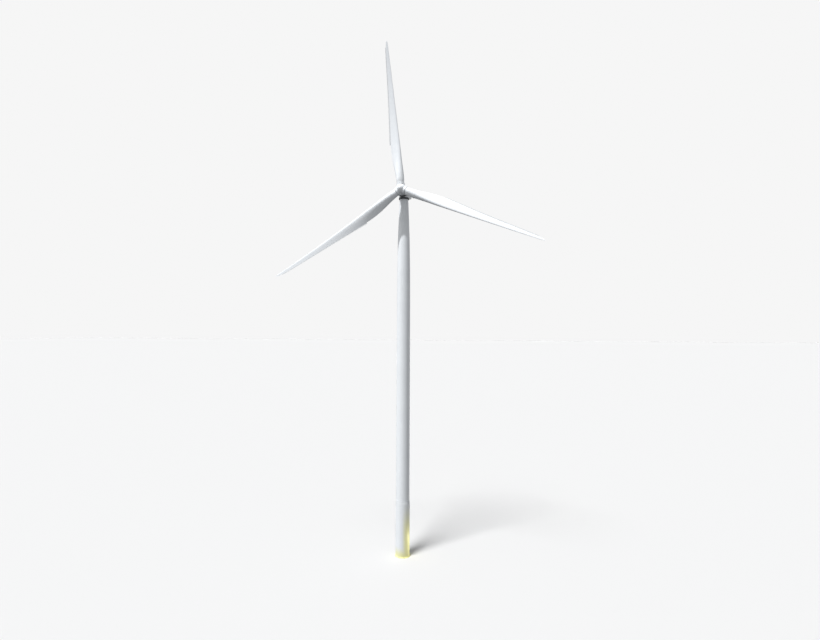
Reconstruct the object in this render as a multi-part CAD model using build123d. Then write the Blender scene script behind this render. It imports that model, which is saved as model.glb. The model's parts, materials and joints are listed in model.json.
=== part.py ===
"""Upwind three-bladed horizontal-axis wind turbine, direct drive, on a tall tubular steel tower.

Frame: origin on the tower axis at the underside of the base flange, +Z up, rotor facing -Y, +X to the right
of a person who looks at the rotor from the front. Millimetres.

Shaft frame S: origin at the hub centre, +Z along the shaft towards the nose, +X as the world, +Y up in the rotor
plane. A distance s behind the hub centre is the shaft-frame height -s.
Blade frame B(k): origin at the hub centre, +Z out along the blade, +X towards the leading edge, +Y downwind.
"""

from build123d import *
import math
import os

os.makedirs("parts", exist_ok=True)

# ------------------------------------------------------------------ driving dimensions
ROTOR_R = 60000.0          # blade tip radius
HUB_H = 144000.0           # hub centre above the base flange
OVERHANG = 4700.0          # hub centre in front of the tower axis
TILT = 6.0                 # shaft tilt, degrees, nose up
CONE = 3.0                 # blade cone, degrees, upwind
PREBEND = 2800.0           # forward bend of the blade tip
BLADE_ANGLES = (96.0, 216.0, 336.0)   # blade directions in the rotor plane at rest, degrees from +X

TOWER_TOP = 141200.0
JOINTS = (22000.0, 52000.0, 82000.0, 112000.0)   # flange joints between the tower sections
R_BASE, R_MAIN = 2760.0, 2625.0
TOP_PROFILE = ((112000.0, 2560.0), (124000.0, 2365.0), (133000.0, 2060.0), (TOWER_TOP, 1700.0))
WALL = {1: 44.0, 2: 40.0, 3: 36.0, 4: 32.0, 5: 28.0}
FLANGE_W, FLANGE_T = 250.0, 120.0
N_FLANGE_BOLTS = 32
BOLT_A0 = 180.0 / N_FLANGE_BOLTS

N_ANCHOR, R_ANCHOR_IN, R_ANCHOR_OUT, R_ANCHOR_HOLE = 60, 2580.0, 2890.0, 28.0
BASE_FLANGE_T = 130.0

LADDER_X = -1210.0
LIFT = (180.0, 1130.0, -520.0, 520.0)     # lift car, x0 x1 y0 y1
LIFT_Z = 1900.0
LIFT_H = 2200.0

YAW_M, YAW_ZR, YAW_ZP = 28.0, 100, 12     # yaw gear: module, ring teeth, pinion teeth
YAW_DRIVE_ANGLES = (90.0, 198.0, 342.0)
PITCH_M, PITCH_ZR, PITCH_ZP = 25.0, 96, 12
PITCH_DRIVE_ANGLE = 90.0                   # in the blade frame: on the downwind side

R_DRUM = 2050.0                            # generator outer rotor
S_DRUM0, S_DRUM1 = 1720.0, 3100.0
S_COVER0 = 3170.0
R_COVER = 2050.0
COVER_T = 30.0
R_SKIRT = 2030.0
Z_SKIRT = 140900.0

R_ROOT = 1420.0                            # blade root radius

PARTS = {}


def keep(name, shape):
    PARTS[name] = shape


# ------------------------------------------------------------------ helpers
def cyl(r, z0, z1, x=0.0, y=0.0):
    return Pos(x, y, (z0 + z1) / 2) * Cylinder(r, abs(z1 - z0))


def tube(ro, ri, z0, z1, x=0.0, y=0.0):
    return cyl(ro, z0, z1, x, y) - cyl(ri, z0 - 5, z1 + 5, x, y)


def box(x0, x1, y0, y1, z0, z1):
    return Pos((x0 + x1) / 2, (y0 + y1) / 2, (z0 + z1) / 2) * Box(x1 - x0, y1 - y0, z1 - z0)


def revolve_rz(points):
    """Solid of revolution about Z from (r, z) points."""
    pts = [Vector(r, 0, z) for r, z in points]
    wire = Wire.make_polygon(pts, close=True)
    return revolve(Face(wire), Axis.Z, 360)


def prism(points, z0, z1, holes=()):
    face = Face(Wire.make_polygon([Vector(x, y, z0) for x, y in points], close=True),
                [Wire.make_polygon([Vector(x, y, z0) for x, y in h], close=True) for h in holes])
    return extrude(face, amount=z1 - z0, dir=(0, 0, 1))


def group(solids):
    out = []
    for s in solids:
        out += list(s.solids())
    return Compound(children=out)


def polar(n, r, start=0.0):
    for i in range(n):
        a = math.radians(start + 360.0 * i / n)
        yield r * math.cos(a), r * math.sin(a), math.degrees(a)


def one(shape):
    s = shape.solids()
    assert len(s) == 1, f"expected one solid, got {len(s)}: {[round(q.volume) for q in s][:8]}"
    return s[0]


# frames
tau = math.radians(TILT)
N_AX = Vector(0, -math.cos(tau), math.sin(tau))
HUB_C = Vector(0, -OVERHANG, HUB_H)
S = Plane(origin=HUB_C, x_dir=(1, 0, 0), z_dir=N_AX).location
OV_S = OVERHANG / math.cos(tau)             # distance from hub centre back to the tower axis, along the shaft
SHAFT_Z0 = HUB_H - OVERHANG * math.tan(tau)  # shaft height over the tower axis


def blade_axes(theta):
    t, c = math.radians(theta), math.radians(CONE)
    in_plane = Vector(math.cos(t), 0, 0) + Vector(0, math.sin(tau), math.cos(tau)) * math.sin(t)
    span = in_plane * math.cos(c) + N_AX * math.sin(c)
    lead = Vector(math.sin(t), 0, 0) - Vector(0, math.sin(tau), math.cos(tau)) * math.cos(t)
    return span, lead


B = []
for a in BLADE_ANGLES:
    span, lead = blade_axes(a)
    B.append(Plane(origin=HUB_C, x_dir=lead, z_dir=span).location)


# ------------------------------------------------------------------ gear profiles
def involute_flank(rb, r0, r1, n):
    pts = []
    for i in range(n + 1):
        r = r0 + (r1 - r0) * i / n
        if r <= rb:
            pts.append((r, 0.0))
        else:
            a = math.acos(rb / r)
            pts.append((r, math.tan(a) - a))
    return pts


def gear_points(z, m, add=1.0, ded=1.25, pa=22.5, thin=0.0, n=2, tooth_at=0.0):
    """Outline of an external gear. thin narrows each tooth by that many millimetres at the pitch circle."""
    rp = m * z / 2
    rb = rp * math.cos(math.radians(pa))
    ra, rf = rp + add * m, rp - ded * m
    inv_p = math.tan(math.radians(pa)) - math.radians(pa)
    half = math.pi / (2 * z) - thin / (2 * rp)
    flank = involute_flank(rb, max(rf, rb * 0.985), ra, n)
    pts = []
    for k in range(z):
        c = math.radians(tooth_at) + 2 * math.pi * k / z
        right = [(r, c - (half + inv_p - iv)) for r, iv in flank]
        left = [(r, c + (half + inv_p - iv)) for r, iv in reversed(flank)]
        if flank[0][0] > rf + 0.5:
            right = [(rf, right[0][1])] + right
            left = left + [(rf, left[-1][1])]
        pts += right + left
    return [(r * math.cos(a), r * math.sin(a)) for r, a in pts]


def internal_points(z, m, add=0.9, ded=1.3, pa=22.5, widen=0.0, n=2, space_at=0.0, first=0, last=None):
    """Outline of the hole in an internal gear: its spaces are tooth-shaped, with deeper outer ends.
    Spaces number first to last are cut; without them the ring is toothed all round."""
    rp = m * z / 2
    rb = rp * math.cos(math.radians(pa))
    ri, ro = rp - add * m, rp + ded * m
    inv_p = math.tan(math.radians(pa)) - math.radians(pa)
    half = math.pi / (2 * z) + widen / (2 * rp)
    flank = involute_flank(rb, ri, ro, n)
    pts = []
    for k in range(first, z if last is None else last + 1):
        c = math.radians(space_at) + 2 * math.pi * k / z
        right = [(r, c - (half + inv_p - iv)) for r, iv in flank]
        left = [(r, c + (half + inv_p - iv)) for r, iv in reversed(flank)]
        pts += right + left
    if last is not None:
        a0, a1 = pts[-1][1], pts[0][1] + 2 * math.pi
        steps = 40
        pts += [(ri, a0 + (a1 - a0) * i / steps) for i in range(1, steps)]
    return [(r * math.cos(a), r * math.sin(a)) for r, a in pts]


# ------------------------------------------------------------------ tower
def section_solid(outer, wall, flange_bottom=True, flange_top=True):
    """outer is a list of (z, r). Shell with an L flange inside each end."""
    z0, z1 = outer[0][0], outer[-1][0]
    pts = [(r, z) for z, r in outer]
    ri0, ri1 = outer[0][1] - wall, outer[-1][1] - wall
    inner = []
    if flange_top:
        inner += [(ri1 - FLANGE_W, z1), (ri1 - FLANGE_W, z1 - FLANGE_T), (inner_r(outer, wall, z1 - FLANGE_T), z1 - FLANGE_T)]
    else:
        inner += [(ri1, z1)]
    mids = [(r - wall, z) for z, r in outer[1:-1]]
    inner += list(reversed(mids))
    if flange_bottom:
        inner += [(inner_r(outer, wall, z0 + FLANGE_T), z0 + FLANGE_T), (ri0 - FLANGE_W, z0 + FLANGE_T), (ri0 - FLANGE_W, z0)]
    else:
        inner += [(ri0, z0)]
    return revolve_rz(pts + inner)


def inner_r(outer, wall, z):
    for (za, ra), (zb, rb) in zip(outer, outer[1:]):
        if za <= z <= zb:
            return ra + (rb - ra) * (z - za) / (zb - za) - wall
    return outer[-1][1] - wall


def bolt_holes(z, r_shell_in, n, hole_r):
    r = r_shell_in - FLANGE_W * 0.5
    return [cyl(hole_r, z - FLANGE_T - 10, z + FLANGE_T + 10, x, y) for x, y, _ in polar(n, r, 360.0 / n / 2)]


joint_r = {}      # inner radius of the shell at each flange joint, both sides alike
joint_r[1] = R_MAIN - WALL[1]
joint_r[2] = R_MAIN - WALL[2]
joint_r[3] = R_MAIN - WALL[3]
joint_r[4] = 2560.0 - WALL[4]

outer1 = [(BASE_FLANGE_T, R_BASE), (20600.0, R_BASE), (21800.0, R_MAIN), (JOINTS[0], R_MAIN)]
sec1 = section_solid(outer1, WALL[1], flange_bottom=False)
base_flange = tube(R_BASE + 230.0, R_BASE - WALL[1] - 250.0, 0, BASE_FLANGE_T)
sec1 = sec1 + base_flange
cuts = [cyl(26.0, JOINTS[0] - FLANGE_T - 10, JOINTS[0] + 10, x, y)
        for x, y, _ in polar(N_FLANGE_BOLTS, joint_r[1] - FLANGE_W * 0.5, BOLT_A0)]
cuts += [cyl(R_ANCHOR_HOLE, -10, BASE_FLANGE_T + 10, x, y) for x, y, _ in polar(N_ANCHOR, R_ANCHOR_IN)]
cuts += [cyl(R_ANCHOR_HOLE, -10, BASE_FLANGE_T + 10, x, y) for x, y, _ in polar(N_ANCHOR, R_ANCHOR_OUT)]
sec1 = sec1 - cuts

# doorway on the back of the tower
DOOR_Z, DOOR_W, DOOR_H = 1950.0, 950.0, 2300.0


def oval(w, h, y0, y1, zc):
    sk = SlotOverall(h, w)
    prof = Plane(origin=(0, y0, zc), x_dir=(0, 0, 1), z_dir=(0, 1, 0)) * sk
    return extrude(prof, amount=y1 - y0, dir=(0, 1, 0))


DOOR_ZC = DOOR_Z + DOOR_H / 2
frame_y1 = R_BASE + 60.0
door_frame = oval(DOOR_W + 240, DOOR_H + 240, R_BASE - 130, frame_y1, DOOR_ZC)
hinge_x, hinge_y = DOOR_W / 2 + 190.0, frame_y1 + 45.0
lugs = [box(DOOR_W / 2 + 60, hinge_x - 34, frame_y1 - 90, frame_y1 - 6, z, z + 120) + cyl(26, z, z + 120, hinge_x, hinge_y)
        + box(hinge_x - 60, hinge_x + 12, frame_y1 - 60, hinge_y, z, z + 120)
        for z in (DOOR_ZC - 700, DOOR_ZC + 580)]
sec1 = sec1 + door_frame
sec1 = sec1 - oval(DOOR_W, DOOR_H, R_BASE - 400, R_BASE + 400, DOOR_ZC)
for lug in lugs:
    sec1 = sec1 + lug
pins = [cyl(14, z + 120, z + 300, hinge_x, hinge_y) for z in (DOOR_ZC - 700, DOOR_ZC + 580)]
for p in pins:
    sec1 = sec1 + p
keep("tower_section_1", one(sec1))

for k, (a, b) in enumerate(((JOINTS[0], JOINTS[1]), (JOINTS[1], JOINTS[2]), (JOINTS[2], JOINTS[3])), start=2):
    ra = R_MAIN
    rb = R_MAIN if k < 4 else 2560.0
    outer = [(a, ra), (b, rb)] if k < 4 else [(a, ra), (100000.0, ra), (b, rb)]
    sec = section_solid(outer, WALL[k])
    r_lo = (joint_r[k - 1]) - FLANGE_W * 0.5
    r_hi = joint_r[k] - FLANGE_W * 0.5
    holes = [cyl(26.0, a - 10, a + FLANGE_T + 10, x, y) for x, y, _ in polar(N_FLANGE_BOLTS, r_lo, BOLT_A0)]
    holes += [cyl(26.0, b - FLANGE_T - 10, b + 10, x, y) for x, y, _ in polar(N_FLANGE_BOLTS, r_hi, BOLT_A0)]
    keep(f"tower_section_{k}", one(sec - holes))

sec5 = section_solid([(z, r) for z, r in TOP_PROFILE], WALL[5])
holes = [cyl(26.0, JOINTS[3] - 10, JOINTS[3] + FLANGE_T + 10, x, y)
         for x, y, _ in polar(N_FLANGE_BOLTS, joint_r[4] - FLANGE_W * 0.5, BOLT_A0)]
N_YAW_BOLTS, R_YAW_BOLTS = 24, 1590.0
holes += [cyl(22.0, TOWER_TOP - FLANGE_T - 10, TOWER_TOP + 10, x, y) for x, y, _ in polar(N_YAW_BOLTS, R_YAW_BOLTS)]
keep("tower_section_5", one(sec5 - holes))


def bolt(r, grip, head_r, head_t):
    """Stud with a nut at each end, centred on z = 0."""
    nut = extrude(RegularPolygon(head_r, 6), amount=head_t)
    return cyl(r, -grip / 2 - head_t - 18, grip / 2 + head_t + 18) + Pos(0, 0, grip / 2) * nut + Pos(0, 0, -grip / 2 - head_t) * nut


flange_bolt = one(bolt(24.0, 2 * FLANGE_T, 40.0, 38.0))
bolts = []
for k, z in enumerate(JOINTS, start=1):
    for x, y, _ in polar(N_FLANGE_BOLTS, joint_r[k] - FLANGE_W * 0.5, BOLT_A0):
        bolts.append(Pos(x, y, z) * flange_bolt)
yaw_bolt = one(bolt(20.0, FLANGE_T + 90.0, 32.0, 30.0))
for x, y, _ in polar(N_YAW_BOLTS, R_YAW_BOLTS):
    bolts.append(Pos(x, y, TOWER_TOP - FLANGE_T / 2 + 45.0) * yaw_bolt)
keep("flange_bolts", group(bolts))

# door leaf, closed over the frame, hung on the two pins
leaf_y0 = frame_y1 + 3.0
leaf = oval(DOOR_W + 160, DOOR_H + 160, leaf_y0, leaf_y0 + 36, DOOR_ZC)
leaf = leaf + oval(DOOR_W - 260, DOOR_H - 700, leaf_y0 + 36, leaf_y0 + 50, DOOR_ZC)
for z in (DOOR_ZC - 700, DOOR_ZC + 580):
    knuckle = tube(26, 15, z + 122, z + 290, hinge_x, hinge_y)
    strap = box(DOOR_W / 2 - 120, hinge_x - 20, leaf_y0 + 20, leaf_y0 + 56, z + 140, z + 270)
    leaf = leaf + (strap - cyl(15, z + 100, z + 320, hinge_x, hinge_y)) + knuckle
handle = box(-DOOR_W / 2 + 60, -DOOR_W / 2 + 100, leaf_y0 + 30, leaf_y0 + 110, DOOR_ZC - 150, DOOR_ZC - 120) \
    + box(-DOOR_W / 2 + 60, -DOOR_W / 2 + 100, leaf_y0 + 30, leaf_y0 + 110, DOOR_ZC + 120, DOOR_ZC + 150) \
    + box(-DOOR_W / 2 + 60, -DOOR_W / 2 + 100, leaf_y0 + 85, leaf_y0 + 120, DOOR_ZC - 150, DOOR_ZC + 150)
leaf = leaf + handle
keep("tower_door", one(leaf))

# outside stairs and landing
land_z = DOOR_Z - 120.0
ly0, ly1 = R_BASE + 250.0, R_BASE + 1750.0
stairs = box(-750, 750, ly0, ly1, land_z - 50, land_z)
step_n, rise = 8, land_z / 9
going = 260.0
for i in range(1, step_n + 1):
    z = land_z - rise * i
    y = ly1 + going * (i - 1)
    stairs = stairs + box(-420, 420, y, y + going + 20, z - 40, z)
run_y1 = ly1 + going * step_n + 20
for x in (-460, 420):
    side = prism([(ly1 - 20, land_z), (run_y1, land_z - rise * step_n + 40), (run_y1, 0), (run_y1 - 260, 0), (ly1 - 20, land_z - 330)], x, x + 40)
    # the prism is drawn in (y, z) and stands along x
    side = Plane(origin=(0, 0, 0), x_dir=(0, 1, 0), z_dir=(1, 0, 0)).location * side
    stairs = stairs + side
for x in (-710, 710):
    for y in (ly0 + 60, ly1 - 60):
        stairs = stairs + cyl(40, 0, land_z - 40, x, y)
rail_r = 18.0


def bar(x, y, z0, z1):
    return box(x - rail_r, x + rail_r, y - rail_r, y + rail_r, z0, z1)


for x in (-720, 720):
    for y in (ly0 + 60, (ly0 + ly1) / 2, ly1 - 60):
        stairs = stairs + bar(x, y, land_z - 10, land_z + 1100)
    for z in (land_z + 560, land_z + 1100):
        stairs = stairs + box(x - rail_r, x + rail_r, ly0 + 30, ly1 - 22, z - rail_r, z + rail_r)
for x in (-440, 440):
    ya, yb = ly1 - 40, run_y1 - 60
    rail = prism([(ya, land_z + 1085), (yb + 15, 1235), (yb + 15, 1275), (ya, land_z + 1118)], x - rail_r, x + rail_r)
    stairs = stairs + Plane(origin=(0, 0, 0), x_dir=(0, 1, 0), z_dir=(1, 0, 0)).location * rail
    stairs = stairs + bar(x, yb, 200, 1250)
    stairs = stairs + bar(x, ly1 - 40, land_z - 10, land_z + 1110)
    xa, xb = sorted((x, 1.64 * x))
    stairs = stairs + box(xa, xb, ly1 - 40 - rail_r, ly1 - 40 + rail_r, land_z + 1100 - rail_r, land_z + 1100 + rail_r)
keep("entry_stairs", group([stairs]))

# ladder in five lengths, each one flat grid of two rails and its rungs
lad_w, rung_pitch = 440.0, 300.0
ladder_solids = []
spans = [(2100.0, JOINTS[0] - 40), (JOINTS[0] + 40, JOINTS[1] - 40), (JOINTS[1] + 40, JOINTS[2] - 40), (JOINTS[2] + 40, JOINTS[3] - 40), (JOINTS[3] + 40, 140700.0)]
for z0, z1 in spans:
    holes = []
    n = int((z1 - z0 - 120) // rung_pitch)
    for i in range(n):
        a = z0 + 60 + i * rung_pitch
        holes.append([(-lad_w / 2 + 35, a), (lad_w / 2 - 35, a), (lad_w / 2 - 35, a + rung_pitch - 32), (-lad_w / 2 + 35, a + rung_pitch - 32)])
    grid = prism([(-lad_w / 2, z0), (lad_w / 2, z0), (lad_w / 2, z1), (-lad_w / 2, z1)], 0, 40, holes)
    loc = Plane(origin=(LADDER_X, 0, 0), x_dir=(0, 1, 0), z_dir=(1, 0, 0)).location
    ladder_solids.append(loc * grid)
keep("ladder", group(ladder_solids))

# platforms: entrance floor, one below each flange joint, and one under the yaw bearing
CABLE_XY = ((-100.0, -1850.0), (0.0, -1850.0), (100.0, -1850.0))
plats = []
for z, r in ((1800.0, R_BASE - WALL[1] - 50), (20300.0, R_BASE - WALL[1] - 50), (50300.0, R_MAIN - WALL[2] - 50), (80300.0, R_MAIN - WALL[3] - 50),
             (110300.0, 2480.0), (138800.0, 1710.0)):
    d = cyl(r, z, z + 30)
    d = d + tube(r, r - 40, z - 90, z + 5)
    half = math.sqrt((r - 30) ** 2 - 700**2)
    d = d + box(-half, half, -700, -660, z - 90, z + 5) + box(-half, half, 660, 700, z - 90, z + 5)
    if z > 1900:
        if z < 138000:
            d = d - box(LIFT[0] - 60, LIFT[1] + 60, LIFT[2] - 70, LIFT[3] + 70, z - 200, z + 100)
        d = d - box(LADDER_X - 160, LADDER_X + 640, -400, 400, z - 200, z + 100)
        if z < 138000:
            d = d - box(-170, 170, -1920, -1780, z - 200, z + 100)
        else:
            d = d - cyl(330, z - 200, z + 100)
    plats.append(d)
keep("platforms", group(plats))

# lift car: a closed box with a doorway towards the ladder side, guided on the ladder's line
x0, x1, y0, y1 = LIFT
car = box(x0, x1, y0, y1, LIFT_Z, LIFT_Z + LIFT_H) - box(x0 + 35, x1 - 35, y0 + 35, y1 - 35, LIFT_Z + 60, LIFT_Z + LIFT_H - 60)
car = car - box(x0 - 10, x0 + 60, -330, 330, LIFT_Z + 60, LIFT_Z + 2000)
car = car + box(x1 - 350, x1 - 100, -180, 180, LIFT_Z + LIFT_H, LIFT_Z + LIFT_H + 260)
keep("lift_car", one(car))

# converter cabinet on the entrance floor, below the cables, with one hinged door
cab = (-460.0, 460.0, -2150.0, -1550.0, 1830.0, 3900.0)
cabinet = box(*cab) - box(cab[0] + 25, cab[1] - 25, cab[2] + 25, cab[3] + 10, cab[4] + 60, cab[5] - 40)
cabinet = cabinet + box(cab[0] + 20, cab[1] - 20, cab[2] + 20, cab[2] + 60, cab[4] + 50, cab[5] - 30)
for i in range(4):
    cabinet = cabinet + box(cab[0] + 60 + i * 200, cab[0] + 220 + i * 200, cab[2] + 55, cab[3] - 130, cab[4] + 200 + 60 * i, cab[5] - 500)
CAB_HINGE_Z = (2050.0, 2850.0, 3600.0)
for z in CAB_HINGE_Z:      # fixed knuckles, on the corner line of the front
    cabinet = cabinet + cyl(13, z + 63, z + 99, cab[0], cab[3] + 17) + box(cab[0] - 9, cab[0] + 9, cab[3] - 8, cab[3] + 17, z + 63, z + 99)
keep("converter_cabinet", one(cabinet))
cdoor = box(cab[0] + 6, cab[1] - 6, cab[3] + 4, cab[3] + 30, cab[4] + 20, cab[5] - 10)
cdoor = cdoor + box(cab[0] + 60, cab[0] + 90, cab[3] + 28, cab[3] + 70, 2700, 2860)
for i in range(9):
    cdoor = cdoor - box(cab[0] + 260, cab[1] - 260, cab[3] - 5, cab[3] + 40, 3300 + i * 40, 3316 + i * 40)
for z in CAB_HINGE_Z:
    cdoor = cdoor + cyl(13, z, z + 61, cab[0], cab[3] + 17)
    cdoor = cdoor - box(cab[0] - 20, cab[0] + 34, cab[3] - 2, cab[3] + 50, z + 61, z + 101)
keep("cabinet_door", one(cdoor))

# power cables: down the tower wall, and over from the end of the hanging bundle on the yaw axis
cables = []
HANG_Z0 = 133000.0
for i, (cx, cy) in enumerate(CABLE_XY):
    ang = math.radians(90 + 120 * i)
    bx, by = 45 * math.cos(ang), 45 * math.sin(ang)
    path = FilletPolyline((bx, by, HANG_Z0 - 4), (bx, by, HANG_Z0 - 1900), (cx, cy, HANG_Z0 - 5200), (cx, cy, HANG_Z0 - 7000), radius=1500)
    prof = Plane(origin=(bx, by, HANG_Z0 - 4), z_dir=(0, 0, -1)) * Circle(35)
    top = sweep(prof, path=path)
    low = cyl(35, cab[5], HANG_Z0 - 7000, cx, cy)
    cables.append(one(top + low))
keep("power_cables", group(cables))
hang = []
for i in range(3):
    ang = math.radians(90 + 120 * i)
    hang.append(cyl(35, HANG_Z0, 142600, 45 * math.cos(ang), 45 * math.sin(ang)))
for z in (134000.0, 136400.0, 139900.0):
    hang.append(tube(110, 92, z, z + 60))
keep("hanging_cables", group(hang))

# ------------------------------------------------------------------ yaw system
ring_top = TOWER_TOP + 90.0
R_YAW_RIM = 1850.0
ring_outer = [(R_YAW_RIM * math.cos(2 * math.pi * i / 120), R_YAW_RIM * math.sin(2 * math.pi * i / 120)) for i in range(120)]
YAW_T = 150.0
teeth = internal_points(YAW_ZR, YAW_M, widen=1.6)
ring_mid = 1500.0
ring = prism(ring_outer, TOWER_TOP, TOWER_TOP + YAW_T,
             [[(ring_mid * math.cos(-2 * math.pi * i / 120), ring_mid * math.sin(-2 * math.pi * i / 120)) for i in range(120)]])
# recess over the bolt heads, so that they clear the slide face
ring = ring - tube(R_YAW_BOLTS + 60, R_YAW_BOLTS - 60, ring_top, TOWER_TOP + YAW_T + 20)
ring = ring - [cyl(22.0, TOWER_TOP - 10, TOWER_TOP + YAW_T + 10, x, y) for x, y, _ in polar(N_YAW_BOLTS, R_YAW_BOLTS)]
tooth_ring = prism([(ring_mid * math.cos(2 * math.pi * i / 120), ring_mid * math.sin(2 * math.pi * i / 120)) for i in range(120)],
                   TOWER_TOP, TOWER_TOP + YAW_T, [list(reversed(teeth))])
ring = ring + tooth_ring
keep("yaw_ring_gear", one(ring))

FOOT_Z0, FOOT_Z1 = TOWER_TOP + YAW_T + 50.0, TOWER_TOP + YAW_T + 210.0
yaw_axis_r = YAW_M * (YAW_ZR - YAW_ZP) / 2
for i, a in enumerate(YAW_DRIVE_ANGLES, start=1):
    pts = gear_points(YAW_ZP, YAW_M, add=0.9, ded=1.15, thin=2.4, tooth_at=a)
    px, py = yaw_axis_r * math.cos(math.radians(a)), yaw_axis_r * math.sin(math.radians(a))
    pin = Pos(px, py, 0) * prism(pts, TOWER_TOP + 10, TOWER_TOP + YAW_T - 8)
    pin = pin + cyl(70, TOWER_TOP + YAW_T - 20, FOOT_Z0 + 30, px, py)
    keep(f"yaw_pinion_{i}", one(pin))

drives = []
for a in YAW_DRIVE_ANGLES:
    px, py = yaw_axis_r * math.cos(math.radians(a)), yaw_axis_r * math.sin(math.radians(a))
    d = cyl(150, FOOT_Z0 + 34, FOOT_Z1, px, py) + cyl(215, FOOT_Z1, FOOT_Z1 + 60, px, py) + cyl(180, FOOT_Z1 + 50, FOOT_Z1 + 620, px, py)
    d = d + cyl(150, FOOT_Z1 + 600, FOOT_Z1 + 640, px, py) + cyl(125, FOOT_Z1 + 620, FOOT_Z1 + 1010, px, py) + cyl(132, FOOT_Z1 + 1000, FOOT_Z1 + 1080, px, py)
    for j in range(12):
        aa = math.radians(30 * j)
        d = d + (Pos(px + 128 * math.cos(aa), py + 128 * math.sin(aa), FOOT_Z1 + 820) * Rot(0, 0, 30 * j) * Box(22, 12, 300))
    d = d + Pos(px, py, 0) * (Rot(0, 0, a) * box(-190, -100, -60, 60, FOOT_Z1 + 700, FOOT_Z1 + 860))
    drives.append(d)
keep("yaw_drives", group(drives))

claws = []
for x, y, deg in polar(8, 1.0, 22.5):
    c = Rot(0, 0, deg) * (box(1862, 1950, -190, 190, TOWER_TOP - 56, FOOT_Z0) + box(1748, 1900, -190, 190, TOWER_TOP - 56, TOWER_TOP - 5)
                          + box(1700, 1900, -190, 190, FOOT_Z0 - 46, FOOT_Z0))
    claws.append(c)
for x, y, deg in polar(8, 1.0, 0.0):
    claws.append(Rot(0, 0, deg) * box(1690, 1830, -150, 150, FOOT_Z0 - 46, FOOT_Z0))
keep("yaw_bearing_claws", group(claws))

# ------------------------------------------------------------------ nacelle structure
C_T = Vector(0, 0, SHAFT_Z0)      # where the shaft line crosses the tower axis


def sh(shape):
    """From shaft-frame coordinates (x, y, z with s = -z) to the world."""
    return S * shape


def scyl(r, s0, s1):
    return cyl(r, -s1, -s0)


S_FLANGE = 3370.0
bed = tube(1960, 700, FOOT_Z0, FOOT_Z1)
bed = bed + cyl(1000, FOOT_Z1 - 20, SHAFT_Z0) + Pos(*C_T) * Sphere(1230)
bed = bed + sh(scyl(950, S_FLANGE, OV_S))
bed = bed + sh(scyl(1100, S_FLANGE, S_FLANGE + 130))
for deg in (45, 135, 225, 315):      # ribs from the foot to the column
    rib = prism([(990, 0), (1880, 0), (1880, 60), (990, 620)], -30, 30)
    rib = Plane(origin=(0, 0, 0), x_dir=(1, 0, 0), z_dir=(0, -1, 0)).location * rib
    bed = bed + Pos(0, 0, FOOT_Z1 - 10) * (Rot(0, 0, deg) * rib)
# rear frame: two beams and a floor plate behind the column
beams = box(-700, -600, -930, -700, -9150, -OV_S - 700) + box(600, 700, -930, -700, -9150, -OV_S - 700) \
    + box(-900, 900, -700, -670, -9250, -OV_S - 1150) + box(-700, 700, -900, -760, -9150, -9050)
bed = bed + sh(beams)
# bracket for the rotor lock
bed = bed + sh(box(900, 1630, -70, 70, -3370 - 120, -3370 - 10) + cyl(95, -3370 - 130, -3370 + 20, 1700, 0) + box(1600, 1700, -70, 70, -3370 - 120, -3370 - 10))
hollow = cyl(880, FOOT_Z0 - 50, SHAFT_Z0) + Pos(*C_T) * Sphere(1110) + sh(scyl(640, S_FLANGE - 10, OV_S)) + sh(scyl(560, OV_S, OV_S + 1400))
bed = bed - hollow
bed = bed - sh(scyl(2155, 1000, 3240))      # relief under the front tray of the cover
bed = bed - [cyl(152, FOOT_Z0 - 20, FOOT_Z1 + 20, yaw_axis_r * math.cos(math.radians(a)), yaw_axis_r * math.sin(math.radians(a))) for a in YAW_DRIVE_ANGLES]
bed = bed - sh(cyl(48, -3370 - 200, -3370 + 60, 1700, 0))
for a in YAW_DRIVE_ANGLES:
    bed = bed - cyl(222, FOOT_Z1, FOOT_Z1 + 1200, yaw_axis_r * math.cos(math.radians(a)), yaw_axis_r * math.sin(math.radians(a)))
keep("bedplate", one(bed))

lock = sh(cyl(45, -3390, -3370 + 225, 1700, 0) + cyl(60, -3370 - 280, -3370 - 220, 1700, 0) + cyl(45, -3370 - 230, -3370 - 10, 1700, 0))
keep("rotor_lock_pin", one(lock))

kingpin = scyl(600, 760, S_FLANGE) + scyl(900, S_FLANGE - 120, S_FLANGE)
kingpin = kingpin - scyl(480, 700, S_FLANGE + 10)
kingpin = kingpin + (scyl(640, 760, 860) - scyl(480, 700, 900))
KP_BOLTS = 24
for x, y, _ in polar(KP_BOLTS, 780):
    kingpin = kingpin + cyl(28, -(S_FLANGE - 150), -(S_FLANGE - 110), x, y)
keep("kingpin", sh(one(kingpin)))

MB0, MB1 = 1100.0, 1560.0         # main bearing along the shaft
inner_ring = tube(730, 600, -MB1, -MB0) + tube(742, 600, -MB1, -MB1 + 30) + tube(742, 600, -MB0 - 30, -MB0) + tube(742, 600, -(MB0 + MB1) / 2 - 15, -(MB0 + MB1) / 2 + 15)
keep("main_bearing_inner", sh(one(inner_ring)))
outer_ring = tube(980, 850, -MB1, -MB0)
keep("main_bearing_outer", sh(one(outer_ring)))
rollers = []
for x, y, _ in polar(30, 790):
    rollers.append(cyl(55, -MB1 + 35, -(MB0 + MB1) / 2 - 20, x, y))
    rollers.append(cyl(55, -(MB0 + MB1) / 2 + 20, -MB0 - 35, x, y))
cage = tube(810, 770, -MB0 - 30, -MB0 - 12) + tube(810, 770, -MB1 + 12, -MB1 + 30)
rollers.append(cage)
keep("main_bearing_rollers", sh(group(rollers)))

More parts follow.
